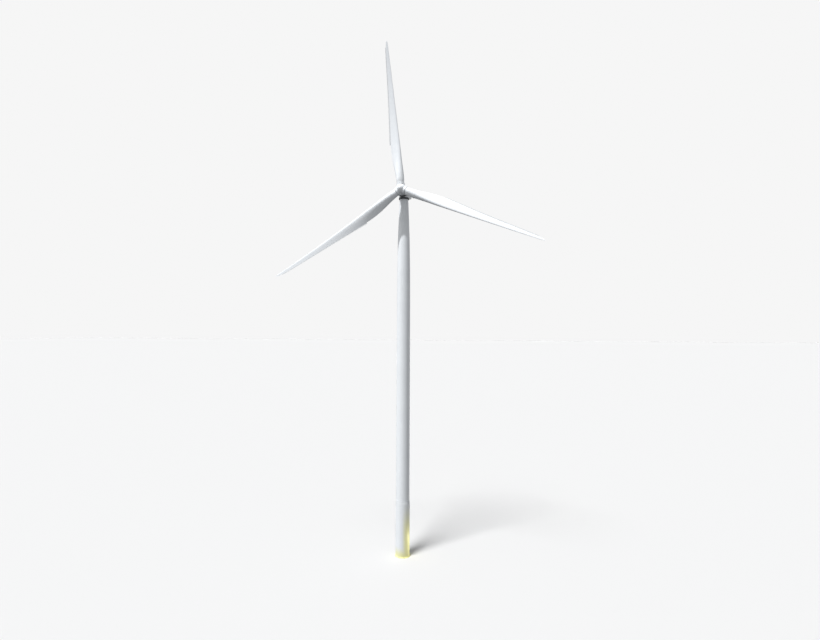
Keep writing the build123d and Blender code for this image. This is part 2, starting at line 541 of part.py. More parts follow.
# generator: outer rotor drum with magnets, inner stator on the kingpin
drum = scyl(R_DRUM, S_DRUM0, S_DRUM1) - scyl(1970, S_DRUM0 + 70, S_DRUM1 + 10)
drum = drum - scyl(760, S_DRUM0 - 10, S_DRUM0 + 100)
drum = drum - [Rot(0, 0, 30 + 60 * i) * cyl(210, -S_DRUM0 - 100, -S_DRUM0 + 10, 1480, 0) for i in range(6)]
drum = drum + (scyl(R_DRUM, S_DRUM1 - 40, S_DRUM1) - scyl(1930, S_DRUM1 - 50, S_DRUM1 + 10))
N_POLES = 60
keep("generator_rotor", sh(one(drum)))
mags = []
for i in range(N_POLES):
    mags.append(Rot(0, 0, 360.0 / N_POLES * i) * box(1912, 1966, -84, 84, -2930, -1990))
keep("rotor_magnets", sh(group(mags)))
stator = scyl(1900, 1990, 2930) - scyl(1620, 1900, 3000)
slots = [Rot(0, 0, 6.0 * i) * box(1800, 1930, -32, 32, -2940, -1980) for i in range(60)]
stator = stator - slots
spider = scyl(1630, 2400, 2480) - scyl(600, 2300, 2600)
spider = spider - [Rot(0, 0, 45 * i + 22.5) * cyl(230, -2500, -2380, 1150, 0) for i in range(8)]
stator = stator + spider
keep("generator_stator", sh(one(stator)))
wind = []
for i in range(60):
    coil = box(1803, 1880, -29, 29, -3000, -1920) + box(1680, 1880, -29, 29, -3000, -2933) + box(1680, 1880, -29, 29, -1987, -1920)
    wind.append(Rot(0, 0, 6.0 * i) * coil)
keep("stator_windings", sh(group(wind)))

disc = scyl(1925, S_DRUM1 - 38, S_DRUM1 + 10) - scyl(1540, S_DRUM1 - 60, S_DRUM1 + 40)
disc = scyl(1925, S_DRUM1 - 30, S_DRUM1 + 16) - scyl(1540, S_DRUM1 - 60, S_DRUM1 + 40)
disc = disc + (scyl(1990, S_DRUM1 + 2, S_DRUM1 + 16) - scyl(1900, S_DRUM1 - 5, S_DRUM1 + 30))
disc = disc - [Rot(0, 0, 30 * i) * cyl(52, -S_DRUM1 - 40, -S_DRUM1 + 60, 1700, 0) for i in range(12)]
keep("brake_disc", sh(one(disc)))
cal = []
for deg in (55, 125, 235, 305):
    c = box(1460, 1650, -150, 150, -S_DRUM1 - 90, -S_DRUM1 + 92) - box(1530, 1700, -200, 200, -S_DRUM1 - 26, -S_DRUM1 + 40)
    c = c + box(1460, 1530, -110, 110, -S_DRUM1 + 90, -2480)
    cal.append(Rot(0, 0, deg) * c)
keep("brake_calipers", sh(group(cal)))

# ------------------------------------------------------------------ nacelle cover
cover_outer = [(0, -S_COVER0), (R_COVER, -S_COVER0), (R_COVER, -7600), (2010, -8500), (1900, -9500), (1800, -10100), (1620, -10480), (1350, -10600), (0, -10600)]
t = COVER_T
cover_inner = [(0, -S_COVER0 - t), (R_COVER - t, -S_COVER0 - t), (R_COVER - t, -7595), (2010 - t, -8490), (1900 - t, -9488), (1800 - t, -10085), (1605, -10450), (1345, -10570), (0, -10570)]
H_o, H_i = sh(revolve_rz(cover_outer)), sh(revolve_rz(cover_inner))
V_o = cyl(R_SKIRT, Z_SKIRT, SHAFT_Z0)
V_i = cyl(R_SKIRT - t, Z_SKIRT + t, SHAFT_Z0)
K_o, K_i = sh(cyl(2110, -S_COVER0, 1000)), sh(cyl(2110 + t, -S_COVER0 - t, 1000))
body_o = (H_o + V_o) - K_o
body_i = (H_i + V_i) - K_i
# upswept tail: material below a slanting plane goes, and the plane itself becomes a wall


def tail_wedge(off):
    p = [(-R_COVER - 400, -6900 - 1.0), (-R_COVER + off * 1.0, -6900), (-380 + off, -10600), (-380 + off, -11400), (-R_COVER - 400, -11400)]
    w = prism([(y, z) for y, z in p], -2600, 2600)
    return sh(Plane(origin=(0, 0, 0), x_dir=(0, 1, 0), z_dir=(1, 0, 0)).location * w)


body_o = body_o - tail_wedge(0)
body_i = body_i - tail_wedge(t * 1.1)
shell = body_o - body_i
shell = shell - sh(cyl(1900, -S_COVER0 - 60, -S_COVER0 + 60))             # front opening round the generator
shell = shell - cyl(1765, Z_SKIRT - 50, Z_SKIRT + 60)                     # the tower passes through the floor
FAN_R = 430.0
FAN_Y = 620.0
shell = shell - sh(cyl(FAN_R + 25, -10700, -10500, 0, FAN_Y))             # fan opening in the rear wall


fan_ring = tube(FAN_R + 60, FAN_R + 25, -10690, -10380, 0, FAN_Y)
spokes = cyl(95, -10440, -10390, 0, FAN_Y)
for k in range(3):
    spokes = spokes + Pos(0, FAN_Y, 0) * (Rot(0, 0, 90 + 120 * k) * box(0, FAN_R + 40, -22, 22, -10430, -10395))
shell = shell + sh(fan_ring + spokes)
# roof hatch opening
HX, HS0, HS1 = 430.0, 6300.0, 7200.0
shell_solid = one(shell)
upper_half = sh(box(-3000, 3000, 0, 3000, -11500, -1500))
lower_half_world = sh(box(-3000, 3000, -6000, 0, -11500, -1500))
upper = shell_solid & upper_half
lower = shell_solid & lower_half_world
hatch_zone = sh(box(-HX, HX, 1500, 2600, -HS1, -HS0))
hatch = upper & hatch_zone
gap = 14.0
upper = upper - sh(box(-HX - gap, HX + gap, 1500, 2600, -HS1 - gap, -HS0 + gap))
hatch_y = math.sqrt(R_COVER**2 - HX**2)
HINGE_H = (-(HX + 52), hatch_y + 34)       # roof hatch hinge line in the shaft frame (x, y)
hx, hy = HINGE_H
hatch_bits = []
for z in (-HS1 + 140, -HS0 - 260):
    upper = upper + sh(cyl(24, z - 60, z, hx, hy)) + sh(box(hx - 20, hx + 10, hy - 70, hy, z - 60, z))
    upper = upper + sh(cyl(12, z, z + 110, hx, hy))
    kn = tube(24, 13, z + 2, z + 108, hx, hy) + (box(hx + 8, hx + 160, hy - 12, hy + 10, z + 2, z + 108) - cyl(13, z - 10, z + 150, hx, hy))
    kn = kn + box(hx + 100, hx + 160, hy - 60, hy + 6, z + 2, z + 108)
    hatch_bits.append(kn)
hatch_handle = box(HX - 160, HX - 130, hatch_y - 10, hatch_y + 110, -6830, -6670) - box(HX - 170, HX - 120, hatch_y - 60, hatch_y + 80, -6800, -6700)
hatch = hatch + sh(hatch_handle)
for kn in hatch_bits:
    hatch = hatch + sh(kn)
upper = group([upper])
lower = group([lower])
keep("nacelle_cover_upper", one(upper))
keep("nacelle_cover_lower", one(lower))
keep("roof_hatch", one(hatch))

# cooling fan in the rear wall
fan = cyl(90, -10640, -10480, 0, 0)
for k in range(7):
    blade = Rot(0, 0, 360 / 7 * k) * (Pos(250, 0, -10560) * (Rot(32, 0, 0) * Box(330, 150, 10)))
    fan = fan + blade
fan = fan + cyl(40, -10490, -10443, 0, 0)
fan = fan & cyl(FAN_R, -10800, -10300)
keep("cooling_fan", sh(Pos(0, FAN_Y, 0) * one(fan)))

# nacelle control cabinet on the rear floor
ncab = box(-560, 560, -668, 560, -9050, -8350) - box(-600, 600, 600, 900, -9100, -8300)
for i in range(3):
    ncab = ncab + box(-520 + 360 * i, -200 + 360 * i, -560, 480, -8350, -8330)
    ncab = ncab + box(-250 + 360 * i, -230 + 360 * i, -90, 90, -8332, -8300)
keep("nacelle_cabinet", sh(one(ncab)))

# passive cooler: two wind-facing radiator wings swept down either side of the tail
wing_len, wing_w, wing_t = 3300.0, 460.0, 280.0
WS = 10050.0
frames, cores = [], []
for side in (1, -1):
    u = Vector(1800 / 3371.0, -2850 / 3371.0, 0)
    nrm = Vector(2850 / 3371.0, 1800 / 3371.0, 0)
    p0 = Vector(720, 2420, 0)
    loc = Plane(origin=(p0.X, p0.Y, -WS), x_dir=u, z_dir=(0, 0, -1)).location
    # local x runs down the wing, local y outward or inward, local z towards the tail
    ysign = 1 if (Plane(origin=(0, 0, 0), x_dir=u, z_dir=(0, 0, -1)).y_dir.dot(nrm) > 0) else -1
    ya, yb = sorted((0, ysign * wing_w))
    fr = box(0, wing_len, ya, yb, 0, wing_t) - box(50, wing_len - 50, ya + 45, yb - 45, -5, wing_t + 5)
    for j in range(1, 4):
        xx = wing_len * j / 4
        fr = fr + box(xx - 20, xx + 20, ya + 20, yb - 20, 20, wing_t - 20)
    co = []
    for j in range(4):
        xa = wing_len * j / 4 + (55 if j == 0 else 25)
        xb = wing_len * (j + 1) / 4 - (55 if j == 3 else 25)
        c = box(xa, xb, ya + 50, yb - 50, 60, wing_t - 60)
        n_f = 6
        for m_ in range(n_f):
            xm = xa + (xb - xa) * (m_ + 0.5) / n_f
            c = c - box(xm - 26, xm + 26, ya + 90, yb - 90, 50, 130) - box(xm - 26, xm + 26, ya + 90, yb - 90, wing_t - 130, wing_t - 50)
        co.append(c)
    f_s = loc * fr
    c_s = [loc * c for c in co]
    if side == -1:
        f_s = mirror(f_s, about=Plane.YZ)
        c_s = [mirror(c, about=Plane.YZ) for c in c_s]
    frames.append(f_s)
    cores += c_s
ridge = box(-760, 760, 2300, 2420, -WS - wing_t, -WS) + box(-700, -600, 1780, 2320, -WS - wing_t + 40, -WS - 60) + box(600, 700, 1780, 2320, -WS - wing_t + 40, -WS - 60)
ridge = ridge - revolve_rz(cover_outer)
cooler_frame = ridge
for f in frames:
    cooler_frame = cooler_frame + f
cooler_frame = cooler_frame - revolve_rz(cover_outer)
keep("cooler_frame", sh(group([cooler_frame])))
keep("cooler_cores", sh(group(cores)))

# wind sensors on a cross bar over the roof
ms = -8600.0
ry = 2004.0
mast = box(-90, 90, ry - 14, ry + 36, ms - 90, ms + 90)
up = Plane(origin=(0, 0, 0), x_dir=(1, 0, 0), z_dir=(0, 1, 0)).location   # local z becomes shaft-frame y
post = Pos(0, 0, ms) * (up * cyl(32, ry, ry + 1150))
bar = Pos(0, ry + 1150, ms) * (Rot(0, 90, 0) * cyl(26, -700, 700))
mast = mast + post + bar
for x in (-660, 660):
    mast = mast + Pos(x, 0, ms) * (up * cyl(20, ry + 1150, ry + 1330))
mast = mast + Pos(0, 0, ms) * (up * cyl(10, ry + 1150, ry + 2100))
mast = mast - revolve_rz(cover_outer)
keep("sensor_mast", sh(one(mast)))
cups = up * cyl(28, ry + 1333, ry + 1420)
for k in range(3):
    arm = Rot(0, 120 * k, 0) * (Pos(0, ry + 1390, 0) * (Rot(0, 90, 0) * cyl(8, 0, 170)))
    half = Pos(190, ry + 1390, 0) * (Sphere(48) - Sphere(42) - box(-60, 60, -60, 60, 0, 60))
    cups = cups + arm + Rot(0, 120 * k, 0) * half
keep("anemometer_cups", sh(Pos(-660, 0, ms) * one(cups)))
vane = up * cyl(26, ry + 1333, ry + 1410)
vane = vane + Pos(0, ry + 1385, 0) * cyl(9, -330, 210) + Pos(0, ry + 1385, 0) * box(-4, 4, -95, 95, -420, -230) + Pos(0, ry + 1385, 0) * cyl(20, 200, 260)
keep("wind_vane", sh(Pos(660, 0, ms) * one(vane)))
lamp = Pos(0, 0, -7700) * (up * (cyl(110, 2032, 2100) + cyl(85, 2100, 2290) + cyl(95, 2290, 2320)))
lamp = lamp - revolve_rz(cover_outer)
keep("aviation_light", sh(one(lamp)))

# ------------------------------------------------------------------ rotor hub
FL0, FL1 = 1420.0, 1600.0
R_HUB_FLANGE = 1580.0
hub = Sphere(1820) - scyl(3000, S_DRUM0, 3000)
for loc in B:
    inv = S.inverse() * loc
    hub = hub - inv * cyl(3000, FL1, 3200)
for loc in B:
    inv = S.inverse() * loc
    hub = hub + inv * cyl(R_HUB_FLANGE, FL0, FL1)
hub = hub + scyl(1400, 900, S_DRUM0) + cyl(700, 1500, 1850)
hub = hub - Sphere(1480)
hub = hub - scyl(980, MB0 - 40, S_DRUM0 + 10) - scyl(900, 0, S_DRUM0 + 10) - cyl(520, 0, 2000)
pitch_axis_r = PITCH_M * (PITCH_ZR - PITCH_ZP) / 2
pda = math.radians(PITCH_DRIVE_ANGLE)
for loc in B:
    inv = S.inverse() * loc
    hub = hub - inv * cyl(840, 0, FL1 + 10)
    hub = hub - inv * cyl(176, 700, FL1 + 10, pitch_axis_r * math.cos(pda), pitch_axis_r * math.sin(pda))
keep("hub", sh(one(hub)))

# spinner: rounded nose with a collar round each blade root
SP_R0, SP_R1, SP_BACK, SP_NOSE, SP_CAP = 2040.0, 2090.0, -1660.0, 2330.0, 1700.0
SP_CZ = SP_NOSE - SP_CAP
SP_SIDE = (SP_R1**2 + SP_CZ**2 - SP_CAP**2) / (2 * (SP_R1 - SP_CAP))      # radius of the side arc


def spinner_body(off):
    ph = math.atan2(SP_CZ, SP_SIDE - SP_R1)      # where the side arc meets the nose cap
    back = Vector(SP_R0 - off, 0, SP_BACK - (20 if off else 0))
    side = Vector(SP_R1 - off, 0, 0)
    r1, r2 = SP_SIDE - off, SP_CAP - off

    def on1(a):
        return Vector(SP_R1 - SP_SIDE + r1 * math.cos(a), 0, r1 * math.sin(a))

    def on2(a):
        return Vector(r2 * math.cos(a), 0, SP_CZ + r2 * math.sin(a))
    e1 = Edge.make_line(Vector(0, 0, back.Z), back)
    e2 = Edge.make_line(back, side)
    e3 = Edge.make_three_point_arc(side, on1(ph / 2), on1(ph))
    e4 = Edge.make_three_point_arc(on1(ph), on2((ph + math.pi / 2) / 2), on2(math.pi / 2))
    e5 = Edge.make_line(on2(math.pi / 2), Vector(0, 0, back.Z))
    return revolve(Face(Wire([e1, e2, e3, e4, e5])), Axis.Z, 360)


COL_R, COL_END = 1640.0, 2200.0
sp_o, sp_i = spinner_body(0), spinner_body(40)
for loc in B:
    inv = S.inverse() * loc
    sp_o = sp_o + inv * cyl(COL_R, 300, COL_END)
    sp_i = sp_i + inv * cyl(COL_R - 40, 300, COL_END - 40)
sp_o = sp_o - cyl(4000, -2600, -1660)
spin = sp_o - sp_i
for loc in B:
    inv = S.inverse() * loc
    spin = spin - inv * cyl(1475, 1000, COL_END + 50)
keep("spinner", sh(one(spin)))

rings = []
for loc in B:
    rings.append(loc * tube(R_HUB_FLANGE - 5, 1430, FL1, 1765))
keep("pitch_bearing_rings", group(rings))
pdr = []
for loc in B:
    px, py = pitch_axis_r * math.cos(pda), pitch_axis_r * math.sin(pda)
    d = cyl(160, 1180, FL1 + 10, px, py) + cyl(130, 1010, 1190, px, py)
    pdr.append(loc * d)
keep("pitch_drives", group(pdr))
for i, loc in enumerate(B, start=1):
    px, py = pitch_axis_r * math.cos(pda), pitch_axis_r * math.sin(pda)
    g = Pos(px, py, 0) * prism(gear_points(PITCH_ZP, PITCH_M, add=0.9, ded=1.15, thin=2.2, tooth_at=PITCH_DRIVE_ANGLE), FL1 + 60, 1780)
    g = g + cyl(60, FL1 + 14, FL1 + 65, px, py)
    keep(f"pitch_pinion_{i}", loc * one(g))
    ring_o = [(1420 * math.cos(2 * math.pi * k / 120), 1420 * math.sin(2 * math.pi * k / 120)) for k in range(120)]
    gr = prism(ring_o, FL1 + 40, 1790, [list(reversed(internal_points(PITCH_ZR, PITCH_M, widen=1.5, space_at=PITCH_DRIVE_ANGLE, first=-4, last=28)))])
    keep(f"pitch_gear_{i}", loc * one(gr))

# ------------------------------------------------------------------ blades
# z, chord, thickness ratio, twist, pitch axis from the leading edge, airfoil share, wall
ST = [
    (1790, 2 * R_ROOT, 1.00, 15.0, 0.500, 0.00, 90),
    (2320, 2 * R_ROOT, 1.00, 15.0, 0.500, 0.00, 86),
    (3300, 3080, 1.00, 15.0, 0.500, 0.00, 80),
    (5500, 3340, 0.900, 15.0, 0.475, 0.18, 60),
    (8500, 3700, 0.670, 15.0, 0.405, 0.55, 48),
    (12000, 4060, 0.465, 14.2, 0.340, 0.90, 40),
    (15500, 4180, 0.360, 12.6, 0.315, 1.00, 36),
    (19500, 3900, 0.305, 10.2, 0.305, 1.00, 32),
    (25000, 3330, 0.265, 7.4, 0.300, 1.00, 30),
    (32000, 2720, 0.235, 4.8, 0.295, 1.00, 26),
    (39000, 2200, 0.215, 2.8, 0.290, 1.00, 24),
    (46000, 1760, 0.200, 1.3, 0.285, 1.00, 20),
    (52000, 1400, 0.190, 0.2, 0.285, 1.00, 16),
    (56500, 1060, 0.185, -0.6, 0.300, 1.00, 14),
    (58800, 760, 0.180, -0.9, 0.340, 1.00, 0),
    (59650, 470, 0.180, -1.0, 0.430, 1.00, 0),
    (60000, 190, 0.200, -1.0, 0.640, 1.00, 0),
]
NP = 12
PHI0 = 7.0


def prebend(z):
    u = max(0.0, (z - 6000.0) / (ROTOR_R - 6000.0))
    return PREBEND * u ** 2.3


def station(z):
    """Values at any height, by linear interpolation."""
    for a, b in zip(ST, ST[1:]):
        if a[0] <= z <= b[0]:
            f = (z - a[0]) / (b[0] - a[0])
            return [p + (q - p) * f for p, q in zip(a, b)]
    return list(ST[-1])


def place(xi, eta, z, chord, twist, xa):
    """xi, eta are in chords from the leading edge, eta positive on the suction side."""
    x, y = (xa - xi) * chord, eta * chord
    b = math.radians(twist)
    return Vector(x * math.cos(b) + y * math.sin(b), -x * math.sin(b) + y * math.cos(b) - prebend(z), z)


def section_points(z, chord, tc, twist, xa, w, scale_in=0.0):
    pts = []
    c_in = chord - 2.3 * scale_in
    t_in = tc * chord - 2 * scale_in
    for side in (1, -1):
        seq = range(NP + 1)
        row = []
        for i in seq:
            phi = math.radians(PHI0 + (180.0 - PHI0) * i / NP)
            x = (1 + math.cos(phi)) / 2
            circ = 0.5 * math.sin(phi)
            naca = 5 * (0.2969 * math.sqrt(x) - 0.1260 * x - 0.3516 * x**2 + 0.2843 * x**3 - 0.1015 * x**4)
            half = ((1 - w) * circ + w * naca)
            camber = w * 0.030 * 4 * x * (1 - x)
            if scale_in:
                xx = (x * c_in + 1.0 * scale_in) / chord
                e = (side * half * t_in) / chord + camber
            else:
                xx = x
                e = side * half * tc + camber
            row.append(place(xx, e, z, chord, twist, xa))
        pts.append(row)
    up, dn = pts
    return up + list(reversed(dn))[1:]


def face_of(pts):
    return Face(Wire.make_polygon([Vector(p) for p in pts], close=True))


def skin(loops, outward=True):
    """Triangles between successive loops of equal length."""
    out = []
    for lo, hi in zip(loops, loops[1:]):
        n = len(lo)
        for i in range(n):
            j = (i + 1) % n
            out.append(face_of((lo[i], lo[j], hi[j])))
            out.append(face_of((lo[i], hi[j], hi[i])))
    return out


def blade_solid():
    """Thin shell of flat facets, open at the root."""
    outer = [section_points(z, c, tc, tw, xa, w) for z, c, tc, tw, xa, w, wall in ST]
    inner = [section_points(z, c, tc, tw, xa, w, wall) for z, c, tc, tw, xa, w, wall in ST if wall > 0]
    faces = skin(outer) + skin(inner)
    faces.append(face_of(outer[-1]))
    faces.append(face_of(inner[-1]))
    faces.append(Face(Wire.make_polygon(outer[0], close=True), [Wire.make_polygon(inner[0], close=True)]))
    solid = Solid(Shell(faces))
    return solid if solid.volume > 0 else Solid(Shell([-f for f in faces]))


blade_one = blade_solid()
print("blade volume", round(blade_one.volume / 1e9, 3), "valid", blade_one.is_valid)
for i, loc in enumerate(B, start=1):
    keep(f"blade_{i}", loc * blade_one)

# trailing-edge serrations: flat comb panels, each with two teeth, behind the edge
SER0, SER1, TOOTH = 18500.0, 58300.0, 0.0
panels = []
z = SER0
PITCH = 500.0
while z + 2 * PITCH < SER1:
    za, zb = z + 4, z + 2 * PITCH - 4
    sa, sb = station(za), station(zb)
    pa = place(1.0, 0.0, za, sa[1], sa[3], sa[4])
    pb = place(1.0, 0.0, zb, sb[1], sb[3], sb[4])
    sm = station((za + zb) / 2)
    tw = math.radians(sm[3])
    back = Vector(-math.cos(tw), math.sin(tw), 0)         # away from the leading edge, along the chord
    up_z = (pb - pa).normalized()
    nrm = up_z.cross(back).normalized()
    back = nrm.cross(up_z).normalized()
    if back.X > 0:
        back = back * -1
    L = (pb - pa).length
    tooth = 0.115 * sm[1] + 150
    base = 30.0
    o = pa + back * 12
    pl = Plane(origin=o - nrm * 4, x_dir=up_z, z_dir=nrm)
    sgn = 1 if pl.y_dir.dot(back) > 0 else -1
    poly = [(0, 0), (L, 0), (L, sgn * base)]
    for k in (1, 0):
        poly += [((k + 0.5) * L / 2 + 10, sgn * (base + tooth)), ((k + 0.5) * L / 2 - 10, sgn * (base + tooth)), (k * L / 2, sgn * base)]
    if sgn < 0:
        poly = list(reversed(poly))
    panels.append(pl.location * prism(poly, 0, 8))
    z += 2 * PITCH
ser = group(panels)
for i, loc in enumerate(B, start=1):
    keep(f"blade_serrations_{i}", group([loc * p for p in panels]))

# ------------------------------------------------------------------ write
for name, shape in PARTS.items():
    export_step(shape, f"parts/{name}.step")
print(len(PARTS), "nodes written")
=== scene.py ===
import bpy
import bmesh
import json
import math
from mathutils import Matrix, Vector


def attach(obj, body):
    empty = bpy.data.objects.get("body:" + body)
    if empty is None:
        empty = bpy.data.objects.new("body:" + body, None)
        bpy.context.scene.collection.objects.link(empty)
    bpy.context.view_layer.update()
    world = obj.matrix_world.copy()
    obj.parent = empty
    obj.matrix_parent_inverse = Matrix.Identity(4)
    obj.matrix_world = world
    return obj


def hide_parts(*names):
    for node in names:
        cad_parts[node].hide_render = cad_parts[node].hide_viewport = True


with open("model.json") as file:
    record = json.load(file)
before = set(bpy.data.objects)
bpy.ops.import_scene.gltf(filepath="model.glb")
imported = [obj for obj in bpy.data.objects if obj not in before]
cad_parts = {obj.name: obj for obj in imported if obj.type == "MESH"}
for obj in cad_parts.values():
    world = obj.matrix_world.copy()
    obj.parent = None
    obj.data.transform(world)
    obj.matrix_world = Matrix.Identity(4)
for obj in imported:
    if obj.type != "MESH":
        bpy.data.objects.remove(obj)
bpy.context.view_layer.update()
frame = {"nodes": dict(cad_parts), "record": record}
NODES = frame["nodes"]

# ------------------------------------------------------------------ geometry shared with the CAD, in metres
TILT, CONE, PREBEND = math.radians(6.0), math.radians(3.0), 2.8
HUB = Vector((0.0, -4.7, 144.0))
N_AX = Vector((0.0, -math.cos(TILT), math.sin(TILT)))
UP = Vector((0.0, math.sin(TILT), math.cos(TILT)))
ANGLES = (96.0, 216.0, 336.0)
R_TIP = 60.0


def columns(x, y, z, o):
    return Matrix(((x[0], y[0], z[0], o[0]), (x[1], y[1], z[1], o[1]), (x[2], y[2], z[2], o[2]), (0, 0, 0, 1)))


S_M = columns(Vector((1, 0, 0)), UP, N_AX, HUB)


def blade_matrix(deg):
    t = math.radians(deg)
    ip = Vector((math.cos(t), 0, 0)) + UP * math.sin(t)
    span = ip * math.cos(CONE) + N_AX * math.sin(CONE)
    lead = Vector((math.sin(t), 0, 0)) - UP * math.cos(t)
    return columns(lead, span.cross(lead), span, HUB)


B_M = [blade_matrix(a) for a in ANGLES]


# ------------------------------------------------------------------ materials
def new_mat(name):
    m = bpy.data.materials.new(name)
    m.use_nodes = True
    nt = m.node_tree
    nt.nodes.clear()
    out = nt.nodes.new("ShaderNodeOutputMaterial")
    bsdf = nt.nodes.new("ShaderNodeBsdfPrincipled")
    nt.links.new(bsdf.outputs[0], out.inputs[0])
    return m, nt, bsdf


def node(nt, kind, **kw):
    n = nt.nodes.new(kind)
    for k, v in kw.items():
        if k in n.inputs.keys():
            n.inputs[k].default_value = v
        else:
            setattr(n, k, v)
    return n


def coords(nt):
    return nt.nodes.new("ShaderNodeTexCoord").outputs["Object"]


def noise_fac(nt, co, scale, detail=3.0, rough=0.55, stretch=None):
    if stretch:
        mp = nt.nodes.new("ShaderNodeMapping")
        mp.inputs["Scale"].default_value = stretch
        nt.links.new(co, mp.inputs["Vector"])
        co = mp.outputs[0]
    n = nt.nodes.new("ShaderNodeTexNoise")
    n.inputs["Scale"].default_value = scale
    n.inputs["Detail"].default_value = detail
    n.inputs["Roughness"].default_value = rough
    nt.links.new(co, n.inputs["Vector"])
    return n.outputs["Fac"]


def remap(nt, fac, lo, hi, a=0.3, b=0.7, smooth=False):
    mr = nt.nodes.new("ShaderNodeMapRange")
    mr.inputs["From Min"].default_value = a
    mr.inputs["From Max"].default_value = b
    mr.inputs["To Min"].default_value = lo
    mr.inputs["To Max"].default_value = hi
    if smooth:
        mr.interpolation_type = "SMOOTHSTEP"
    nt.links.new(fac, mr.inputs["Value"])
    return mr.outputs["Result"]


def math_node(nt, op, a, b=None):
    m = nt.nodes.new("ShaderNodeMath")
    m.operation = op
    for i, v in enumerate((a, b)):
        if v is None:
            continue
        if isinstance(v, (int, float)):
            m.inputs[i].default_value = v
        else:
            nt.links.new(v, m.inputs[i])
    return m.outputs[0]


def mix_col(nt, fac, c1, c2):
    mx = nt.nodes.new("ShaderNodeMix")
    mx.data_type = "RGBA"
    ins = [i for i in mx.inputs if i.type == "RGBA"]
    for sock, c in zip(ins, (c1, c2)):
        if isinstance(c, (tuple, list)):
            sock.default_value = (*c[:3], 1)
        else:
            nt.links.new(c, sock)
    f = mx.inputs[0]
    if isinstance(fac, (int, float)):
        f.default_value = fac
    else:
        nt.links.new(fac, f)
    return [o for o in mx.outputs if o.type == "RGBA"][0]


def bump(nt, bsdf, height, strength, dist):
    b = nt.nodes.new("ShaderNodeBump")
    b.inputs["Strength"].default_value = strength
    b.inputs["Distance"].default_value = dist
    nt.links.new(height, b.inputs["Height"])
    nt.links.new(b.outputs[0], bsdf.inputs["Normal"])


def painted(name, c1, c2, rough=(0.34, 0.46), big=0.35, fine=60.0, bump_d=0.0006, coat=0.0, streak=None, metallic=0.0):
    """Coated surface: two close colours blended by broad noise, uneven sheen, fine orange peel and optional rain streaks."""
    m, nt, b = new_mat(name)
    co = coords(nt)
    col = mix_col(nt, remap(nt, noise_fac(nt, co, big, 4), 0, 1), c1, c2)
    if streak:
        st = noise_fac(nt, co, 1.0, 3, 0.6, streak)
        dark = tuple(v * 0.80 for v in c2)
        col = mix_col(nt, remap(nt, st, 0.0, 0.30, 0.55, 0.80), col, dark)
    nt.links.new(col, b.inputs["Base Color"])
    nt.links.new(remap(nt, noise_fac(nt, co, big * 5, 4), rough[0], rough[1]), b.inputs["Roughness"])
    bump(nt, b, noise_fac(nt, co, fine, 2), 0.25, bump_d)
    b.inputs["Metallic"].default_value = metallic
    b.inputs["Coat Weight"].default_value = coat
    b.inputs["Coat Roughness"].default_value = 0.2
    return m


def metal(name, c1, c2, rough=(0.28, 0.5), scale=8.0, spots=False):
    m, nt, b = new_mat(name)
    co = coords(nt)
    if spots:
        v = nt.nodes.new("ShaderNodeTexVoronoi")
        v.inputs["Scale"].default_value = scale
        nt.links.new(co, v.inputs["Vector"])
        fac = remap(nt, v.outputs["Distance"], 0, 1, 0.0, 0.6)
    else:
        fac = remap(nt, noise_fac(nt, co, scale, 5), 0, 1)
    nt.links.new(mix_col(nt, fac, c1, c2), b.inputs["Base Color"])
    nt.links.new(remap(nt, noise_fac(nt, co, scale * 2.3, 4), rough[0], rough[1]), b.inputs["Roughness"])
    bump(nt, b, noise_fac(nt, co, scale * 12, 2), 0.2, 0.0005)
    b.inputs["Metallic"].default_value = 1.0
    return m


MAT = {}
MAT["shell_white"] = painted("shell_white", (0.80, 0.82, 0.845), (0.76, 0.785, 0.815), (0.26, 0.38), 0.5, 80, 0.0005, 0.25, streak=None)
MAT["cover_white"] = painted("cover_white", (0.80, 0.82, 0.84), (0.73, 0.75, 0.765), (0.30, 0.44), 0.6, 70, 0.0006, 0.2, streak=(2.2, 2.2, 0.35))
MAT["serration"] = painted("serration", (0.52, 0.54, 0.56), (0.46, 0.48, 0.50), (0.5, 0.65), 1.2, 90, 0.0005)
MAT["galvanised"] = metal("galvanised", (0.52, 0.54, 0.55), (0.38, 0.40, 0.41), (0.38, 0.6), 14.0, spots=True)
MAT["cast_white"] = painted("cast_white", (0.62, 0.63, 0.62), (0.55, 0.56, 0.55), (0.45, 0.6), 1.5, 30, 0.002)
MAT["drum_grey"] = painted("drum_grey", (0.085, 0.09, 0.095), (0.06, 0.065, 0.07), (0.42, 0.58), 1.4, 45, 0.001)
MAT["steel"] = metal("steel", (0.44, 0.45, 0.46), (0.33, 0.34, 0.35), (0.25, 0.42), 10.0)
MAT["gear_steel"] = metal("gear_steel", (0.33, 0.33, 0.34), (0.20, 0.19, 0.18), (0.25, 0.5), 12.0)
MAT["laminations"] = metal("laminations", (0.12, 0.12, 0.13), (0.08, 0.08, 0.085), (0.4, 0.6), 30.0)
MAT["copper"] = metal("copper", (0.55, 0.24, 0.12), (0.42, 0.17, 0.08), (0.25, 0.45), 20.0)
MAT["magnet"] = painted("magnet", (0.05, 0.05, 0.055), (0.035, 0.035, 0.04), (0.35, 0.5), 4, 60, 0.0005)
MAT["cable"] = painted("cable", (0.018, 0.018, 0.02), (0.010, 0.010, 0.012), (0.5, 0.7), 5, 90, 0.0004)
MAT["cabinet"] = painted("cabinet", (0.50, 0.53, 0.55), (0.46, 0.49, 0.51), (0.35, 0.5), 3, 220, 0.0005)
MAT["drive_paint"] = painted("drive_paint", (0.05, 0.10, 0.17), (0.04, 0.08, 0.13), (0.35, 0.5), 3, 60, 0.001)
MAT["radiator"] = metal("radiator", (0.42, 0.44, 0.46), (0.30, 0.32, 0.34), (0.35, 0.55), 12.0)
MAT["sensor"] = painted("sensor", (0.03, 0.03, 0.033), (0.02, 0.02, 0.022), (0.4, 0.55), 6, 120, 0.0003)
